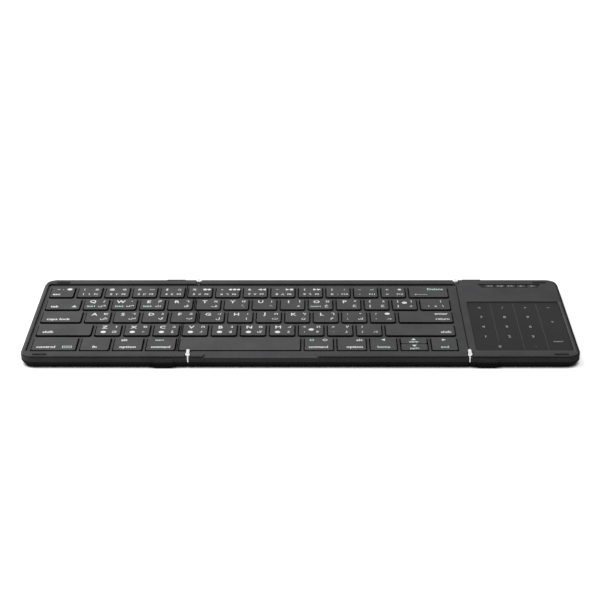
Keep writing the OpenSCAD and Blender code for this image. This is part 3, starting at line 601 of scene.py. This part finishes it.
def letter_key(main, second, third, low=""):
    """A letter key in three alphabets, with a spot or a teal word at its lower left."""
    marks = [(main, 0.33, 0.71, "letter"), (second, 0.8, 0.74, "small"),
             (third, 0.76, 0.3, "small")]
    if low == "spot":
        marks.append(("", 0.31, 0.28, "spot"))
    elif low:
        marks.append((low, 0.3, 0.28, "mark", "teal"))
    return marks


def sign_key(main, shifted, second, third, dot=None):
    """A key with two signs and two letters, and a spot where one is placed."""
    marks = [(main, 0.22, 0.28, "digit"), (shifted, 0.22, 0.74, "digit"),
             (second, 0.8, 0.74, "small"), (third, 0.76, 0.3, "small")]
    if dot:
        marks.append(("", *dot, "spot"))
    return marks


LEGENDS = {
    "esc_key": [[("esc", LEFT, 0.26, "word<"), ("~", 0.3, 0.74, "digit"),
                 ("`", 0.5, 0.72, "digit"), ("", 0.78, 0.74, "spot")]],
    "number_keys_left": [
        digit_key("1", "!", "١", "F1", "☼"), digit_key("2", "@", "٢", "F2", "☼"),
        digit_key("3", "#", "٣", "F3", "▭"), digit_key("4", "$", "٤", "F4", "⌂")],
    "number_keys_right": [
        digit_key("5", "%", "٥", "F5", "■●"), digit_key("6", "^", "٦", "F6", "●●●"),
        digit_key("7", "&", "٧", "F7", "◀◀"), digit_key("8", "*", "٨", "F8", "▶■"),
        digit_key("9", "(", "٩", "F9", "▶▶"),
        digit_key("0", ")", "٠", "F10", "♪", "teal"),
        digit_key("-", "_", "", "F11", "♪♪", "teal"), digit_key("=", "+", "", "F12", "●")],
    "delete_key": [[("Delete", RIGHT, 0.76, "word>", "teal"),
                    ("←——", 0.12, 0.24, "mark<")]],
    "tab_key": [[("tab", 0.14, 0.26, "word<"), ("▲", 0.84, 0.28, "digit", "teal")]],
    "upper_letters_left": [
        letter_key("Q", "/", "ض", "link1"), letter_key("W", "'", "ص", "link2"),
        letter_key("E", "ק", "ث", "link3"), letter_key("R", "ר", "ق")],
    "upper_letters_right": [
        letter_key("T", "א", "ف"), letter_key("Y", "ט", "غ"), letter_key("U", "ו", "ع"),
        letter_key("I", "ן", "ه"), letter_key("O", "ם", "خ", "insert"),
        letter_key("P", "פ", "ح"), sign_key("[", "{", "ג", "ج"),
        sign_key("]", "}", "ז", "د", (0.5, 0.62))],
    "backslash_key": [[("|", 0.7, 0.74, "digit"), ("\\", 0.76, 0.3, "digit"),
                       ("ذ", 0.5, 0.3, "small"), ("•", 0.26, 0.3, "small")]],
    "caps_lock_key": [[("caps lock", 0.13, 0.26, "word<")]],
    "home_letters_left": [
        letter_key("A", "ש", "ش"), letter_key("S", "ד", "س"), letter_key("D", "ג", "ي"),
        letter_key("F", "כ", "ب")],
    "home_letters_right": [
        letter_key("G", "ע", "ل"), letter_key("H", "י", "ا"), letter_key("J", "ח", "ت"),
        letter_key("K", "ל", "ن"), letter_key("L", "ך", "م"), sign_key(";", ":", "ף", "ك"),
        sign_key("'", '"', "", "ط", (0.7, 0.76))],
    "enter_key": [[("enter", 0.93, 0.76, "word>"),
                   ("return", 0.95, 0.28, "word>")]],
    "left_shift_key": [[("shift", 0.1, 0.28, "word<")]],
    "lower_letters_left": [
        letter_key("Z", "ז", "ئ", "spot"), letter_key("X", "ס", "ء", "spot"),
        letter_key("C", "ב", "ؤ", "spot")],
    "lower_letters_right": [
        letter_key("V", "ה", "ر", "spot"), letter_key("B", "נ", "ﻻ", "spot"),
        letter_key("N", "מ", "ى", "spot"), letter_key("M", "צ", "ة", "spot"),
        sign_key(",", "<", "ת", "و", (0.5, 0.5)), sign_key(".", ">", "ץ", "ز"),
        sign_key("/", "?", "", "ظ")],
    "right_shift_key": [[("shift", 0.95, 0.28, "word>")]],
    "modifier_keys_left": [
        [("control", 0.1, 0.24, "word<"), ("", 0.8, 0.24, "frame", "teal")],
        [("fn", 0.5, 0.24, "word")],
        [("alt", 0.33, 0.78, "word"), ("option", 0.5, 0.24, "word")],
        [("start", 0.42, 0.78, "mark", "teal"), ("command", 0.5, 0.24, "word")]],
    "modifier_keys_right": [
        [("○", 0.25, 0.78, "digit", "teal"), ("◇", 0.72, 0.78, "digit"),
         ("command", 0.48, 0.24, "word")],
        [("alt", 0.78, 0.78, "word"), ("option", 0.6, 0.24, "word")]],
    "arrow_keys": [
        [("◀", 0.5, 0.8, "mark"), ("home", 0.5, 0.24, "word", "teal")],
        [("▼", 0.5, 0.68, "mark"), ("pgdn", 0.5, 0.3, "mark", "teal")],
        [("▲", 0.5, 0.68, "mark"), ("pgup", 0.5, 0.3, "mark", "teal")],
        [("▶", 0.5, 0.8, "mark"), ("end", 0.5, 0.24, "word", "teal")]],
}
# The touchpad's marks: text, column, row from the front, and type size in millimetres.
PAD_MARKS = (
    ("=", 0, 4, 3.2), ("/", 1, 4, 3.4), ("*", 2, 4, 3.6), ("−", 3, 4, 3.2),
    ("7", 0, 3, 3.4), ("8", 1, 3, 3.4), ("9", 2, 3, 3.4), ("+", 3, 2.5, 3.4),
    ("4", 0, 2, 3.4), ("5", 1, 2, 3.4), ("6", 2, 2, 3.4),
    ("1", 0, 1, 3.4), ("2", 1, 1, 3.4), ("3", 2, 1, 3.4), ("enter", 3, 0.5, 2.5),
    ("0", 0.5, 0, 3.4), (".", 2, 0, 3.6),
)
MEDIA_MARKS = ("◀◀", "▶■", "▶▶", "◀−", "◀+")
KEY_NODES = list(LEGENDS) + ["space_bar"]
HOMING = {"home_letters_left": 3, "home_letters_right": 2}  # which cap has a homing bar
NARROW = {"command": 0.77, "home": 0.88, "end": 0.88, "return": 0.88}  # widths of words


# ---------------------------------------------------------------- pieces


class KEYBOARD_OT_stage(bpy.types.Operator):
    """Sets up the camera, the lamp, the pale floor and the white surroundings"""

    bl_idname = "keyboard.stage"
    bl_label = "Stage"

    def execute(self, context):
        look = context.scene.keyboard_stage
        context.scene.view_settings.view_transform = "Standard"

        camera = bpy.data.cameras.new("camera")
        camera.lens = look.lens
        camera.sensor_width = 36.0
        camera.shift_x = look.shift
        camera.clip_start = 0.01
        camera.clip_end = 50.0
        eye = put(bpy.data.objects.new("camera", camera))
        eye.location = look.place
        eye.rotation_euler = (math.pi / 2 - look.pitch, 0.0, 0.0)
        context.scene.camera = eye

        lamp = bpy.data.lights.new("overhead", "AREA")
        lamp.energy = look.lamp
        lamp.size = look.lamp_size
        holder = put(bpy.data.objects.new("overhead", lamp))
        holder.location = look.lamp_place
        holder.rotation_euler = (-holder.location).to_track_quat("-Z", "Y").to_euler()

        bm = bmesh.new()
        bmesh.ops.create_grid(bm, x_segments=1, y_segments=1, size=look.floor_reach)
        mesh = bpy.data.meshes.new("floor")
        bm.to_mesh(mesh)
        bm.free()
        floor = put(bpy.data.objects.new("floor", mesh))
        mesh.materials.append(self.floor_finish(look.floor_colour, look.shadow))
        self.surroundings(context, look.sky)
        return {"FINISHED"}

    @staticmethod
    def seen(tree):
        """1 for what the camera, a reflection or a clear surface sees, else 0."""
        path = tree.nodes.new("ShaderNodeLightPath").outputs
        direct = combine(tree, "MAXIMUM", path["Is Camera Ray"], path["Is Glossy Ray"])
        return combine(tree, "MAXIMUM", direct, path["Is Transmission Ray"])

    def floor_finish(self, base, reach):
        """A pale matt floor that shows white, with a contact shadow of that reach."""
        mat = finish("pale_floor", base, 0.9, Specular_IOR_Level=0.0)
        tint(mat, noise(mat, 0.3, 2.0), base, 0.01)
        tree = mat.node_tree
        near = tree.nodes.new("ShaderNodeAmbientOcclusion")
        near.samples = 8
        near.inputs["Distance"].default_value = reach
        level = tree.nodes.new("ShaderNodeMapRange")
        level.inputs["From Min"].default_value = 0.35
        level.inputs["From Max"].default_value = 0.65
        level.inputs["To Max"].default_value = 0.85
        tree.links.new(near.outputs["AO"], level.inputs["Value"])
        glow = tree.nodes.new("ShaderNodeEmission")
        tree.links.new(combine(tree, "MULTIPLY", self.seen(tree), level.outputs["Result"]),
                       glow.inputs["Strength"])
        both = tree.nodes.new("ShaderNodeAddShader")
        tree.links.new(tree.nodes["Principled BSDF"].outputs[0], both.inputs[0])
        tree.links.new(glow.outputs[0], both.inputs[1])
        tree.links.new(both.outputs[0], tree.nodes["Material Output"].inputs["Surface"])
        return mat

    def surroundings(self, context, strength):
        """A white world that lights the object softly."""
        world = bpy.data.worlds.new("white_room")
        world.use_nodes = True
        context.scene.world = world
        tree = world.node_tree
        back = tree.nodes["Background"]
        back.inputs["Color"].default_value = (1.0, 1.0, 1.0, 1.0)
        level = tree.nodes.new("ShaderNodeMapRange")
        level.inputs["To Min"].default_value = strength
        level.inputs["To Max"].default_value = 1.0
        tree.links.new(self.seen(tree), level.inputs["Value"])
        tree.links.new(level.outputs["Result"], back.inputs["Strength"])


class KEYBOARD_OT_case(bpy.types.Operator):
    """Gives the six case halves their moulded grain, with painted shade where little light
    gets in and painted highlights where more light falls
    """

    bl_idname = "keyboard.case"
    bl_label = "Case"

    WALLS_TOP = 6.2 * MM  # just under the deck between the keys; the walls below get painted shade
    MEDIA_TRAY = (6 * MM, 7.3 * MM)  # heights of the tray round the media keys, which gets painted shade
    RIM = (7.3 * MM, 8 * MM)  # heights that hold the flat rim, where highlights are painted beside the touchpad's glass
    PAD_HIGHLIGHT_SIDE = 0.9 * MM  # width of the gap right of the touchpad's glass, where a highlight is painted on the rim
    # depth of the gap in front of the glass, where a highlight is painted on the rim
    PAD_HIGHLIGHT_FRONT = 0.8 * MM
    GROOVE = (6.6 * MM, 7.02 * MM)  # heights of the groove along front and back, which gets painted shadow
    GROOVE_DEEP = 0.25 * MM
    GROOVE_REACH = 0.15  # to either side, short of the slopes at the ends
    SLOPE = (6.5 * MM, 7.49 * MM)  # heights of the slopes along the left and right ends: painted shade on the right one, a painted highlight on the left one
    SLOPE_WIDE = 1.6 * MM
    LOW = 3.9 * MM  # what lies lower gets little light
    SCOOP = (6 * MM, 7.45 * MM)  # heights of the finger scoop, which gets a painted highlight
    SCOOP_FROM, SCOOP_LONG, SCOOP_DEEP = 7 * MM, 64.6 * MM, 2.3 * MM
    FAR = 0.2  # beyond the keyboard on every side
    COVER_EDGE = 0.1 * MM  # how far up a bottom cover its flat underside counts; the painted shade on the sides starts above it
    COVER_SIDE_SHADE = 0.16  # share of the colour that a bottom cover's sides keep under painted shade

    def execute(self, context):
        look = context.scene.keyboard_case
        base = tuple(look.colour)
        upper = moulded("case_plastic", base, look.roughness, look.grain)
        # painted light and shade in boxes on the case plastic
        for low, high, share in self.light_and_shadow():
            shade(upper, low, high, share)
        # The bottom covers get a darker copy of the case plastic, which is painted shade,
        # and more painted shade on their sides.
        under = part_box("middle_bottom_cover")[0].z + self.COVER_EDGE
        lower = moulded("base_plastic", tuple(c * look.underside for c in base),
                        look.roughness, look.grain * 1.6)
        shade(lower, (-self.FAR, -self.FAR, under), (self.FAR, self.FAR, 10 * MM),
              self.COVER_SIDE_SHADE)
        for panel in ("left", "middle", "right"):
            dress(panel + "_top_case", upper)
            dress(panel + "_bottom_cover", lower)
        return {"FINISHED"}

    def light_and_shadow(self):
        """Boxes on the top cases where light or shade is painted into the colour, each with
        the share of the colour that it keeps.
        """
        keys, media, pad = field(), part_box("media_keys"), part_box("touchpad_glass")
        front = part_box("middle_bottom_cover")[0].y
        left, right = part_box("left_bottom_cover")[0].x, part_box("right_bottom_cover")[1].x
        scoop = AXIS["left_wing"] + self.SCOOP_FROM
        far, reach, deep = self.FAR, self.GROOVE_REACH, self.GROOVE_DEEP
        return (
            # painted shade on the walls of the key openings, below the deck
            ((keys[0].x - 2 * MM, keys[0].y - 2 * MM, 0),
             (keys[1].x + 2 * MM, keys[1].y + 2 * MM, self.WALLS_TOP), 0.05),
            # painted shade in the tray round the media keys
            ((media[0].x - 5 * MM, media[0].y - 3 * MM, self.MEDIA_TRAY[0]),
             (media[1].x + 5 * MM, media[1].y + 3 * MM, self.MEDIA_TRAY[1]), 0.45),
            # painted highlight on the rim right of the touchpad's glass
            ((pad[1].x, pad[0].y - self.PAD_HIGHLIGHT_FRONT, self.RIM[0]),
             (pad[1].x + self.PAD_HIGHLIGHT_SIDE, pad[1].y, self.RIM[1]), 1.7),
            # painted highlight on the rim in front of the glass
            ((pad[0].x, pad[0].y - self.PAD_HIGHLIGHT_FRONT, self.RIM[0]),
             (pad[1].x, pad[0].y, self.RIM[1]), 1.3),
            # painted shadow in the grooves along the front and the back
            ((-reach, front - deep, self.GROOVE[0]),
             (reach, front + deep, self.GROOVE[1]), 0.2),
            ((-reach, -front - deep, self.GROOVE[0]),
             (reach, -front + deep, self.GROOVE[1]), 0.2),
            # painted shade on the right end's slope, which faces away from the lamp
            ((right - self.SLOPE_WIDE, -far, self.SLOPE[0]),
             (right, far, self.SLOPE[1]), 0.2),
            # painted highlight on the left end's slope, which faces the lamp
            ((left, -far, self.SLOPE[0]),
             (left + self.SLOPE_WIDE, far, self.SLOPE[1]), 1.2),
            # painted shade on everything that lies low
            ((-far, -far, 0), (far, far, self.LOW), 0.3),
            # painted highlight in the finger scoop
            ((scoop, front, self.SCOOP[0]),
             (scoop + self.SCOOP_LONG, front + self.SCOOP_DEEP, self.SCOOP[1]), 1.3),
        )


class KEYBOARD_OT_key_caps(bpy.types.Operator):
    """Models every key cap: round corners, a soft top edge and a hollow skirt"""

    bl_idname = "keyboard.key_caps"
    bl_label = "Key caps"

    BAR_UP = 2.3 * MM  # from the cap's front to the middle of its homing bar
    BAR = Vector((1.9 * MM, 0.3 * MM, 0.1 * MM))  # half its length and width, its root
    BAR_HIGH = 0.16 * MM
    CAP_SIDE_SHADE = 0.04  # share of the colour that a cap's sides keep under painted shade
    CAP_SIDE_SHADE_FROM = 0.7  # how far down the top edge's rounding the painted shade begins

    def execute(self, context):
        look = context.scene.keyboard_keys
        cap = moulded("key_plastic", tuple(look.colour), look.roughness, look.grain)
        # painted shade on the caps' sides, below their top edges
        below = field()[1].z - look.edge * self.CAP_SIDE_SHADE_FROM
        shade(cap, (-1, -1, -1), (1, 1, below), self.CAP_SIDE_SHADE)
        for node in KEY_NODES:
            bm = bmesh.new()
            for i, (low, high) in enumerate(solids_of(node)):
                faces = rounded_block(bm, low, high, look.corner, top=look.edge,
                                      steps=look.corner_steps)
                hollow_out(bm, faces, low.z, look.wall, high.z - low.z - look.top)
                if HOMING.get(node) == i:
                    at = Vector(((low.x + high.x) / 2, low.y + self.BAR_UP, high.z))
                    rounded_block(bm, at - self.BAR,
                                  at + Vector((*self.BAR.xy, self.BAR_HIGH)),
                                  corner=0.28 * MM, top=0.12 * MM, steps=4)
            add_piece(node + "_caps", bm, [cap], BODY_OF[node], [node])
        return {"FINISHED"}


class KEYBOARD_OT_legends(bpy.types.Operator):
    """Prints the letters, digits, signs and words on the key caps"""

    bl_idname = "keyboard.legends"
    bl_label = "Legends"

    SPOT = (3 * MM, 2.7 * MM)
    FRAME = (5.2 * MM, 2.5 * MM, 0.35 * MM)  # width, height and line of the small frame
    DOT = (0.3 * MM, 0.35 * MM)  # half the size of a dot in it
    DOTS_APART = 1.2 * MM

    def execute(self, context):
        look = context.scene.keyboard_print
        inks = [ink("white_ink", tuple(look.white)), ink("teal_ink", tuple(look.teal))]
        for node, keys in LEGENDS.items():
            boxes = solids_of(node)
            if len(boxes) != len(keys):
                raise RuntimeError(f"{node}: {len(boxes)} caps, {len(keys)} legends")
            bm = bmesh.new()
            for (low, high), marks in zip(boxes, keys):
                size = high - low
                z = high.z + look.lift
                for text, across, up, kind, *teal in marks:
                    x, y = low.x + across * size.x, low.y + up * size.y
                    mat = 1 if teal else 0
                    if kind == "spot":
                        spot(bm, x, y, z, *self.SPOT, mat)
                    elif kind == "frame":
                        outline(bm, x, y, z, *self.FRAME, mat)
                        for dot in (x - self.DOTS_APART, x, x + self.DOTS_APART):
                            bar(bm, dot - self.DOT[0], dot + self.DOT[0],
                                y - self.DOT[1], y + self.DOT[1], z, mat)
                    elif text:
                        align = {"<": "LEFT", ">": "RIGHT"}.get(kind[-1], "CENTER")
                        write(bm, text, x, y, z, getattr(look, kind.rstrip("<>")), align,
                              mat, NARROW.get(text, 1.0))
            add_piece(node + "_legends", bm, inks, BODY_OF[node])
        return {"FINISHED"}


class KEYBOARD_OT_touchpad(bpy.types.Operator):
    """Makes the touchpad's coated glass with its printed number pad"""

    bl_idname = "keyboard.touchpad"
    bl_label = "Touchpad"

    FIRST = (6.6 * MM, 5.4 * MM)  # middle of the first key, from the glass's left front
    PITCH = (13.17 * MM, 12.12 * MM)
    LINE = 0.1 * MM  # half the width of a line
    ENDS = (1.5 * MM, 2 * MM)  # what a line leaves free at the front and the back
    ZERO_KEY = 11.4 * MM  # the first line stops above the wide zero key

    def execute(self, context):
        look = context.scene.keyboard_pad
        low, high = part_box("touchpad_glass")
        glass = finish("coated_glass", tuple(look.glass), 0.4, Specular_IOR_Level=0.07)
        tint(glass, noise(glass, 0.03, 4.0), tuple(look.glass), 0.06)
        rub(glass, noise(glass, 0.03, 5.0), 0.36, 0.46)
        relief(glass, noise(glass, 0.00012, 1.0), 0.000004, 0.25)
        bm = bmesh.new()
        rounded_block(bm, low, high, corner=1.2 * MM, top=look.edge, bottom=0.1 * MM,
                      steps=6)
        add_piece("touchpad_plate", bm, [glass], "right_wing",
                  ["touchpad_glass"])

        inks = [ink("pad_ink", tuple(context.scene.keyboard_print.grey)),
                finish("pad_line", tuple(look.line), 0.4)]
        tint(inks[1], noise(inks[1], 0.002), tuple(look.line), 0.1)
        z = high.z + context.scene.keyboard_print.lift
        bm = bmesh.new()
        for text, column, row, size in PAD_MARKS:
            write(bm, text, low.x + self.FIRST[0] + column * self.PITCH[0],
                  low.y + self.FIRST[1] + row * self.PITCH[1], z, size * MM, weight=0.004)
        front, back = self.ENDS
        for column, clear in ((0.5, self.ZERO_KEY), (1.5, front), (2.5, front)):
            x = low.x + self.FIRST[0] + column * self.PITCH[0]
            bar(bm, x - self.LINE, x + self.LINE, low.y + clear, high.y - back, z, 1)
        add_piece("touchpad_print", bm, inks, "right_wing")
        return {"FINISHED"}


class KEYBOARD_OT_media_keys(bpy.types.Operator):
    """Makes the five small media keys with their printed marks"""

    bl_idname = "keyboard.media_keys"
    bl_label = "Media keys"

    FLANGE = 0.5 * MM  # height of the foot that holds a key under the case
    LIP = 0.3 * MM  # its width
    MARK = 1.9 * MM

    def execute(self, context):
        look = context.scene.keyboard_pad
        cap = moulded("media_plastic", tuple(look.media), 0.42, 0.00012)
        ink_set = context.scene.keyboard_print
        bm, printed = bmesh.new(), bmesh.new()
        for (low, high), text in zip(solids_of("media_keys"), MEDIA_MARKS):
            z = low.z + self.FLANGE
            rounded_block(bm, low, Vector((*high.xy, z)), corner=0.9 * MM, steps=4)
            rounded_block(bm, Vector((low.x + self.LIP, low.y + self.LIP, z)),
                          Vector((high.x - self.LIP, high.y - self.LIP, high.z)),
                          corner=0.6 * MM, top=0.2 * MM, steps=4)
            write(printed, text, (low.x + high.x) / 2, (low.y + high.y) / 2,
                  high.z + ink_set.lift, self.MARK)
        add_piece("media_key_caps", bm, [cap], "media_keys",
                  ["media_keys"])
        add_piece("media_key_print", printed, [ink("media_ink", tuple(look.mark))],
                  "media_keys")
        return {"FINISHED"}


class KEYBOARD_OT_hinges(bpy.types.Operator):
    """Gives the hinge leaves, knuckles and pins their polished steel"""

    bl_idname = "keyboard.hinges"
    bl_label = "Hinges"

    def execute(self, context):
        look = context.scene.keyboard_metal
        steel = metal("hinge_steel", tuple(look.steel), look.roughness, (6.0, 1.0, 6.0))
        pin = metal("pin_steel", tuple(c * 0.75 for c in look.steel), 0.3)
        for side in ("left", "right"):
            dress(side + "_hinge_inner_leaves", steel)
            dress(side + "_hinge_outer_leaves", steel)
            dress(side + "_hinge_pins", pin)
        return {"FINISHED"}


class KEYBOARD_OT_rubber_parts(bpy.types.Operator):
    """Makes the rubber feet and the bumpers that keep the folded panels apart"""

    bl_idname = "keyboard.rubber_parts"
    bl_label = "Rubber parts"

    def execute(self, context):
        look = context.scene.keyboard_inside
        dull = rubber("foot_rubber", tuple(look.foot))
        dark = rubber("bumper_rubber", tuple(look.bumper))
        for panel, body in (("left", "left_wing"), ("middle", "middle_panel"),
                            ("right", "right_wing")):
            bm = bmesh.new()
            for low, high in solids_of(panel + "_feet"):
                rounded_block(bm, low, high, self.end_round(low, high),
                              bottom=0.25 * MM, steps=8)
            add_piece(panel + "_rubber_feet", bm, [dull], body,
                      [panel + "_feet"])
            if panel == "middle":
                continue
            bm = bmesh.new()
            for low, high in solids_of(panel + "_bumpers"):
                rounded_block(bm, low, high, self.end_round(low, high),
                              top=0.2 * MM, steps=6)
            add_piece(panel + "_rubber_bumpers", bm, [dark], body,
                      [panel + "_bumpers"])
        return {"FINISHED"}

    @staticmethod
    def end_round(low, high):
        """The radius that makes the ends all but half round."""
        return (high.y - low.y) / 2 - 0.01 * MM


class KEYBOARD_OT_key_mechanism(bpy.types.Operator):
    """Splits the domes and levers into one piece for each group of keys, and finishes plates
    and membranes
    """

    bl_idname = "keyboard.key_mechanism"
    bl_label = "Key mechanism"

    def execute(self, context):
        look = context.scene.keyboard_inside
        sheet = metal("plate_steel", tuple(context.scene.keyboard_metal.sheet), 0.35,
                      (1.0, 12.0, 1.0), 0.0012)
        film = finish("film", tuple(look.film), 0.45, Specular_IOR_Level=0.2)
        tint(film, noise(film, 0.004, 3.0), tuple(look.film), 0.15)
        relief(film, noise(film, 0.01, 2.0), 0.00003, 0.3)
        silicone = finish("silicone", tuple(look.silicone), 0.4, Transmission_Weight=0.25,
                          IOR=1.41)
        rub(silicone, noise(silicone, 0.0008), 0.32, 0.5)
        nylon = moulded("nylon", tuple(look.nylon), 0.45, 0.0002)
        for panel, body in (("left", "left_wing"), ("middle", "middle_panel")):
            dress(panel + "_key_plate", sheet)
            dress(panel + "_membrane", film)
            own = [n for n in KEY_NODES
                   if any(j["child"] == BODY_OF[n] and j["parent"] == body
                          for j in frame["joints"])]
            for kind, mat, slot in (("rubber_domes", silicone, "clear_rubber"),
                                    ("scissors", nylon, "lever_plastic")):
                node = f"{panel}_{kind}"
                for key in own:
                    piece = self.part_under(node, key, mat, slot, body, kind)
                    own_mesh(piece)
        return {"FINISHED"}

    @staticmethod
    def part_under(node, key, mat, slot, body, kind):
        """The share of a node's solids that stands under one group of keys."""
        bm = bmesh.new()
        bm.from_mesh(NODES[node].data)
        boxes = solids_of(key)
        away = []
        for face in bm.faces:
            middle = face.calc_center_median()
            if not any(low.x < middle.x < high.x and low.y < middle.y < high.y
                       for low, high in boxes):
                away.append(face)
        bmesh.ops.delete(bm, geom=away, context="FACES")
        bmesh.ops.remove_doubles(bm, verts=bm.verts, dist=SAME_PLACE)
        return add_piece(f"{key}_{kind}", bm, [mat], body, [node])


class KEYBOARD_OT_electronics(bpy.types.Operator):
    """Finishes the circuit boards, the battery, the wireless module and the socket"""

    bl_idname = "keyboard.electronics"
    bl_label = "Electronics"

    def execute(self, context):
        look = context.scene.keyboard_inside
        board = circuit("solder_mask", tuple(look.board), tuple(look.track))
        dress("main_circuit_board", board)
        dress("touch_sensor_board", board)
        dress("wireless_module", metal("shield_tin", tuple(look.shield), 0.3))
        dress("charging_socket", metal("socket_steel",
                                       tuple(context.scene.keyboard_metal.steel), 0.26,
                                       (1.0, 8.0, 1.0)))
        foil = finish("battery_foil", tuple(look.foil), 0.32, metallic=0.9)
        tint(foil, noise(foil, 0.02, 4.0), tuple(look.foil), 0.1)
        relief(foil, noise(foil, 0.006, 5.0), 0.00015, 0.35)
        dress("battery", foil)
        return {"FINISHED"}


class KEYBOARD_OT_flex_cables(bpy.types.Operator):
    """Makes the two flat cables that run across the hinges"""

    bl_idname = "keyboard.flex_cables"
    bl_label = "Flex cables"

    THICK = 0.14 * MM
    BEND = 3 * MM  # what bends on either side of the hinge's axis
    CUTS = 60
    ALONG = (0.02, 1.0, 1.0)  # draws the noise out into tracks along the cable

    def execute(self, context):
        base = tuple(context.scene.keyboard_inside.flex)
        film = finish("flex_film", base, 0.35, Coat_Weight=0.4)
        tint(film, noise(film, 0.0006, 2.0, self.ALONG), base, 0.35)
        relief(film, noise(film, 0.0006, 1.0, self.ALONG), 0.00001, 0.5)
        for side in ("left", "right"):
            node = side + "_flex_cable"
            low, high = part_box(node)
            bm = bmesh.new()
            block(bm, Vector((*low.xy, high.z - self.THICK)), high)
            along = [e for e in bm.edges
                     if abs(e.verts[0].co.x - e.verts[1].co.x) > SAME_PLACE]
            bmesh.ops.subdivide_edges(bm, edges=along, cuts=self.CUTS, use_grid_fill=True)
            piece = add_piece(side + "_flat_cable", bm, [film], None, [node])
            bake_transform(piece)
        return {"FINISHED"}


class KEYBOARD_OT_fasteners(bpy.types.Operator):
    """Finishes the screws and the magnets"""

    bl_idname = "keyboard.fasteners"
    bl_label = "Screws and magnets"

    def execute(self, context):
        look = context.scene.keyboard_inside
        screw = metal("screw_steel", tuple(look.screw), 0.35)
        nickel = metal("nickel", tuple(look.nickel), 0.18)
        for panel in ("left", "middle", "right"):
            dress(panel + "_screws", screw)
            dress(panel + "_magnets", nickel)
        return {"FINISHED"}


PIECES = (
    KEYBOARD_OT_stage, KEYBOARD_OT_case, KEYBOARD_OT_key_caps, KEYBOARD_OT_legends,
    KEYBOARD_OT_touchpad, KEYBOARD_OT_media_keys, KEYBOARD_OT_hinges,
    KEYBOARD_OT_rubber_parts, KEYBOARD_OT_key_mechanism, KEYBOARD_OT_electronics,
    KEYBOARD_OT_flex_cables, KEYBOARD_OT_fasteners,
)


class KEYBOARD_PT_panel(bpy.types.Panel):
    """Lists the steps that build the keyboard"""

    bl_idname = "KEYBOARD_PT_panel"
    bl_label = "Folding keyboard"
    bl_space_type = "VIEW_3D"
    bl_region_type = "UI"
    bl_category = "Keyboard"

    def draw(self, context):
        for name, group in SETTINGS.items():
            box = self.layout.box()
            for key in group.__annotations__:
                box.prop(getattr(context.scene, name), key)
        for operator in PIECES:
            self.layout.operator(operator.bl_idname)


CLASSES = (*SETTINGS.values(), *PIECES, KEYBOARD_PT_panel)


def register():
    """Adds the settings, the operators and the panel."""
    for cls in CLASSES:
        bpy.utils.register_class(cls)
    for name, group in SETTINGS.items():
        setattr(bpy.types.Scene, name, PointerProperty(type=group))


def unregister():
    """Takes them away again."""
    for name in SETTINGS:
        delattr(bpy.types.Scene, name)
    for cls in reversed(CLASSES):
        bpy.utils.unregister_class(cls)


def main():
    """Builds the keyboard's looks."""
    register()
    for operator in PIECES:
        group, name = operator.bl_idname.split(".")
        getattr(getattr(bpy.ops, group), name)()
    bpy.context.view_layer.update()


if __name__ == "__main__":
    main()
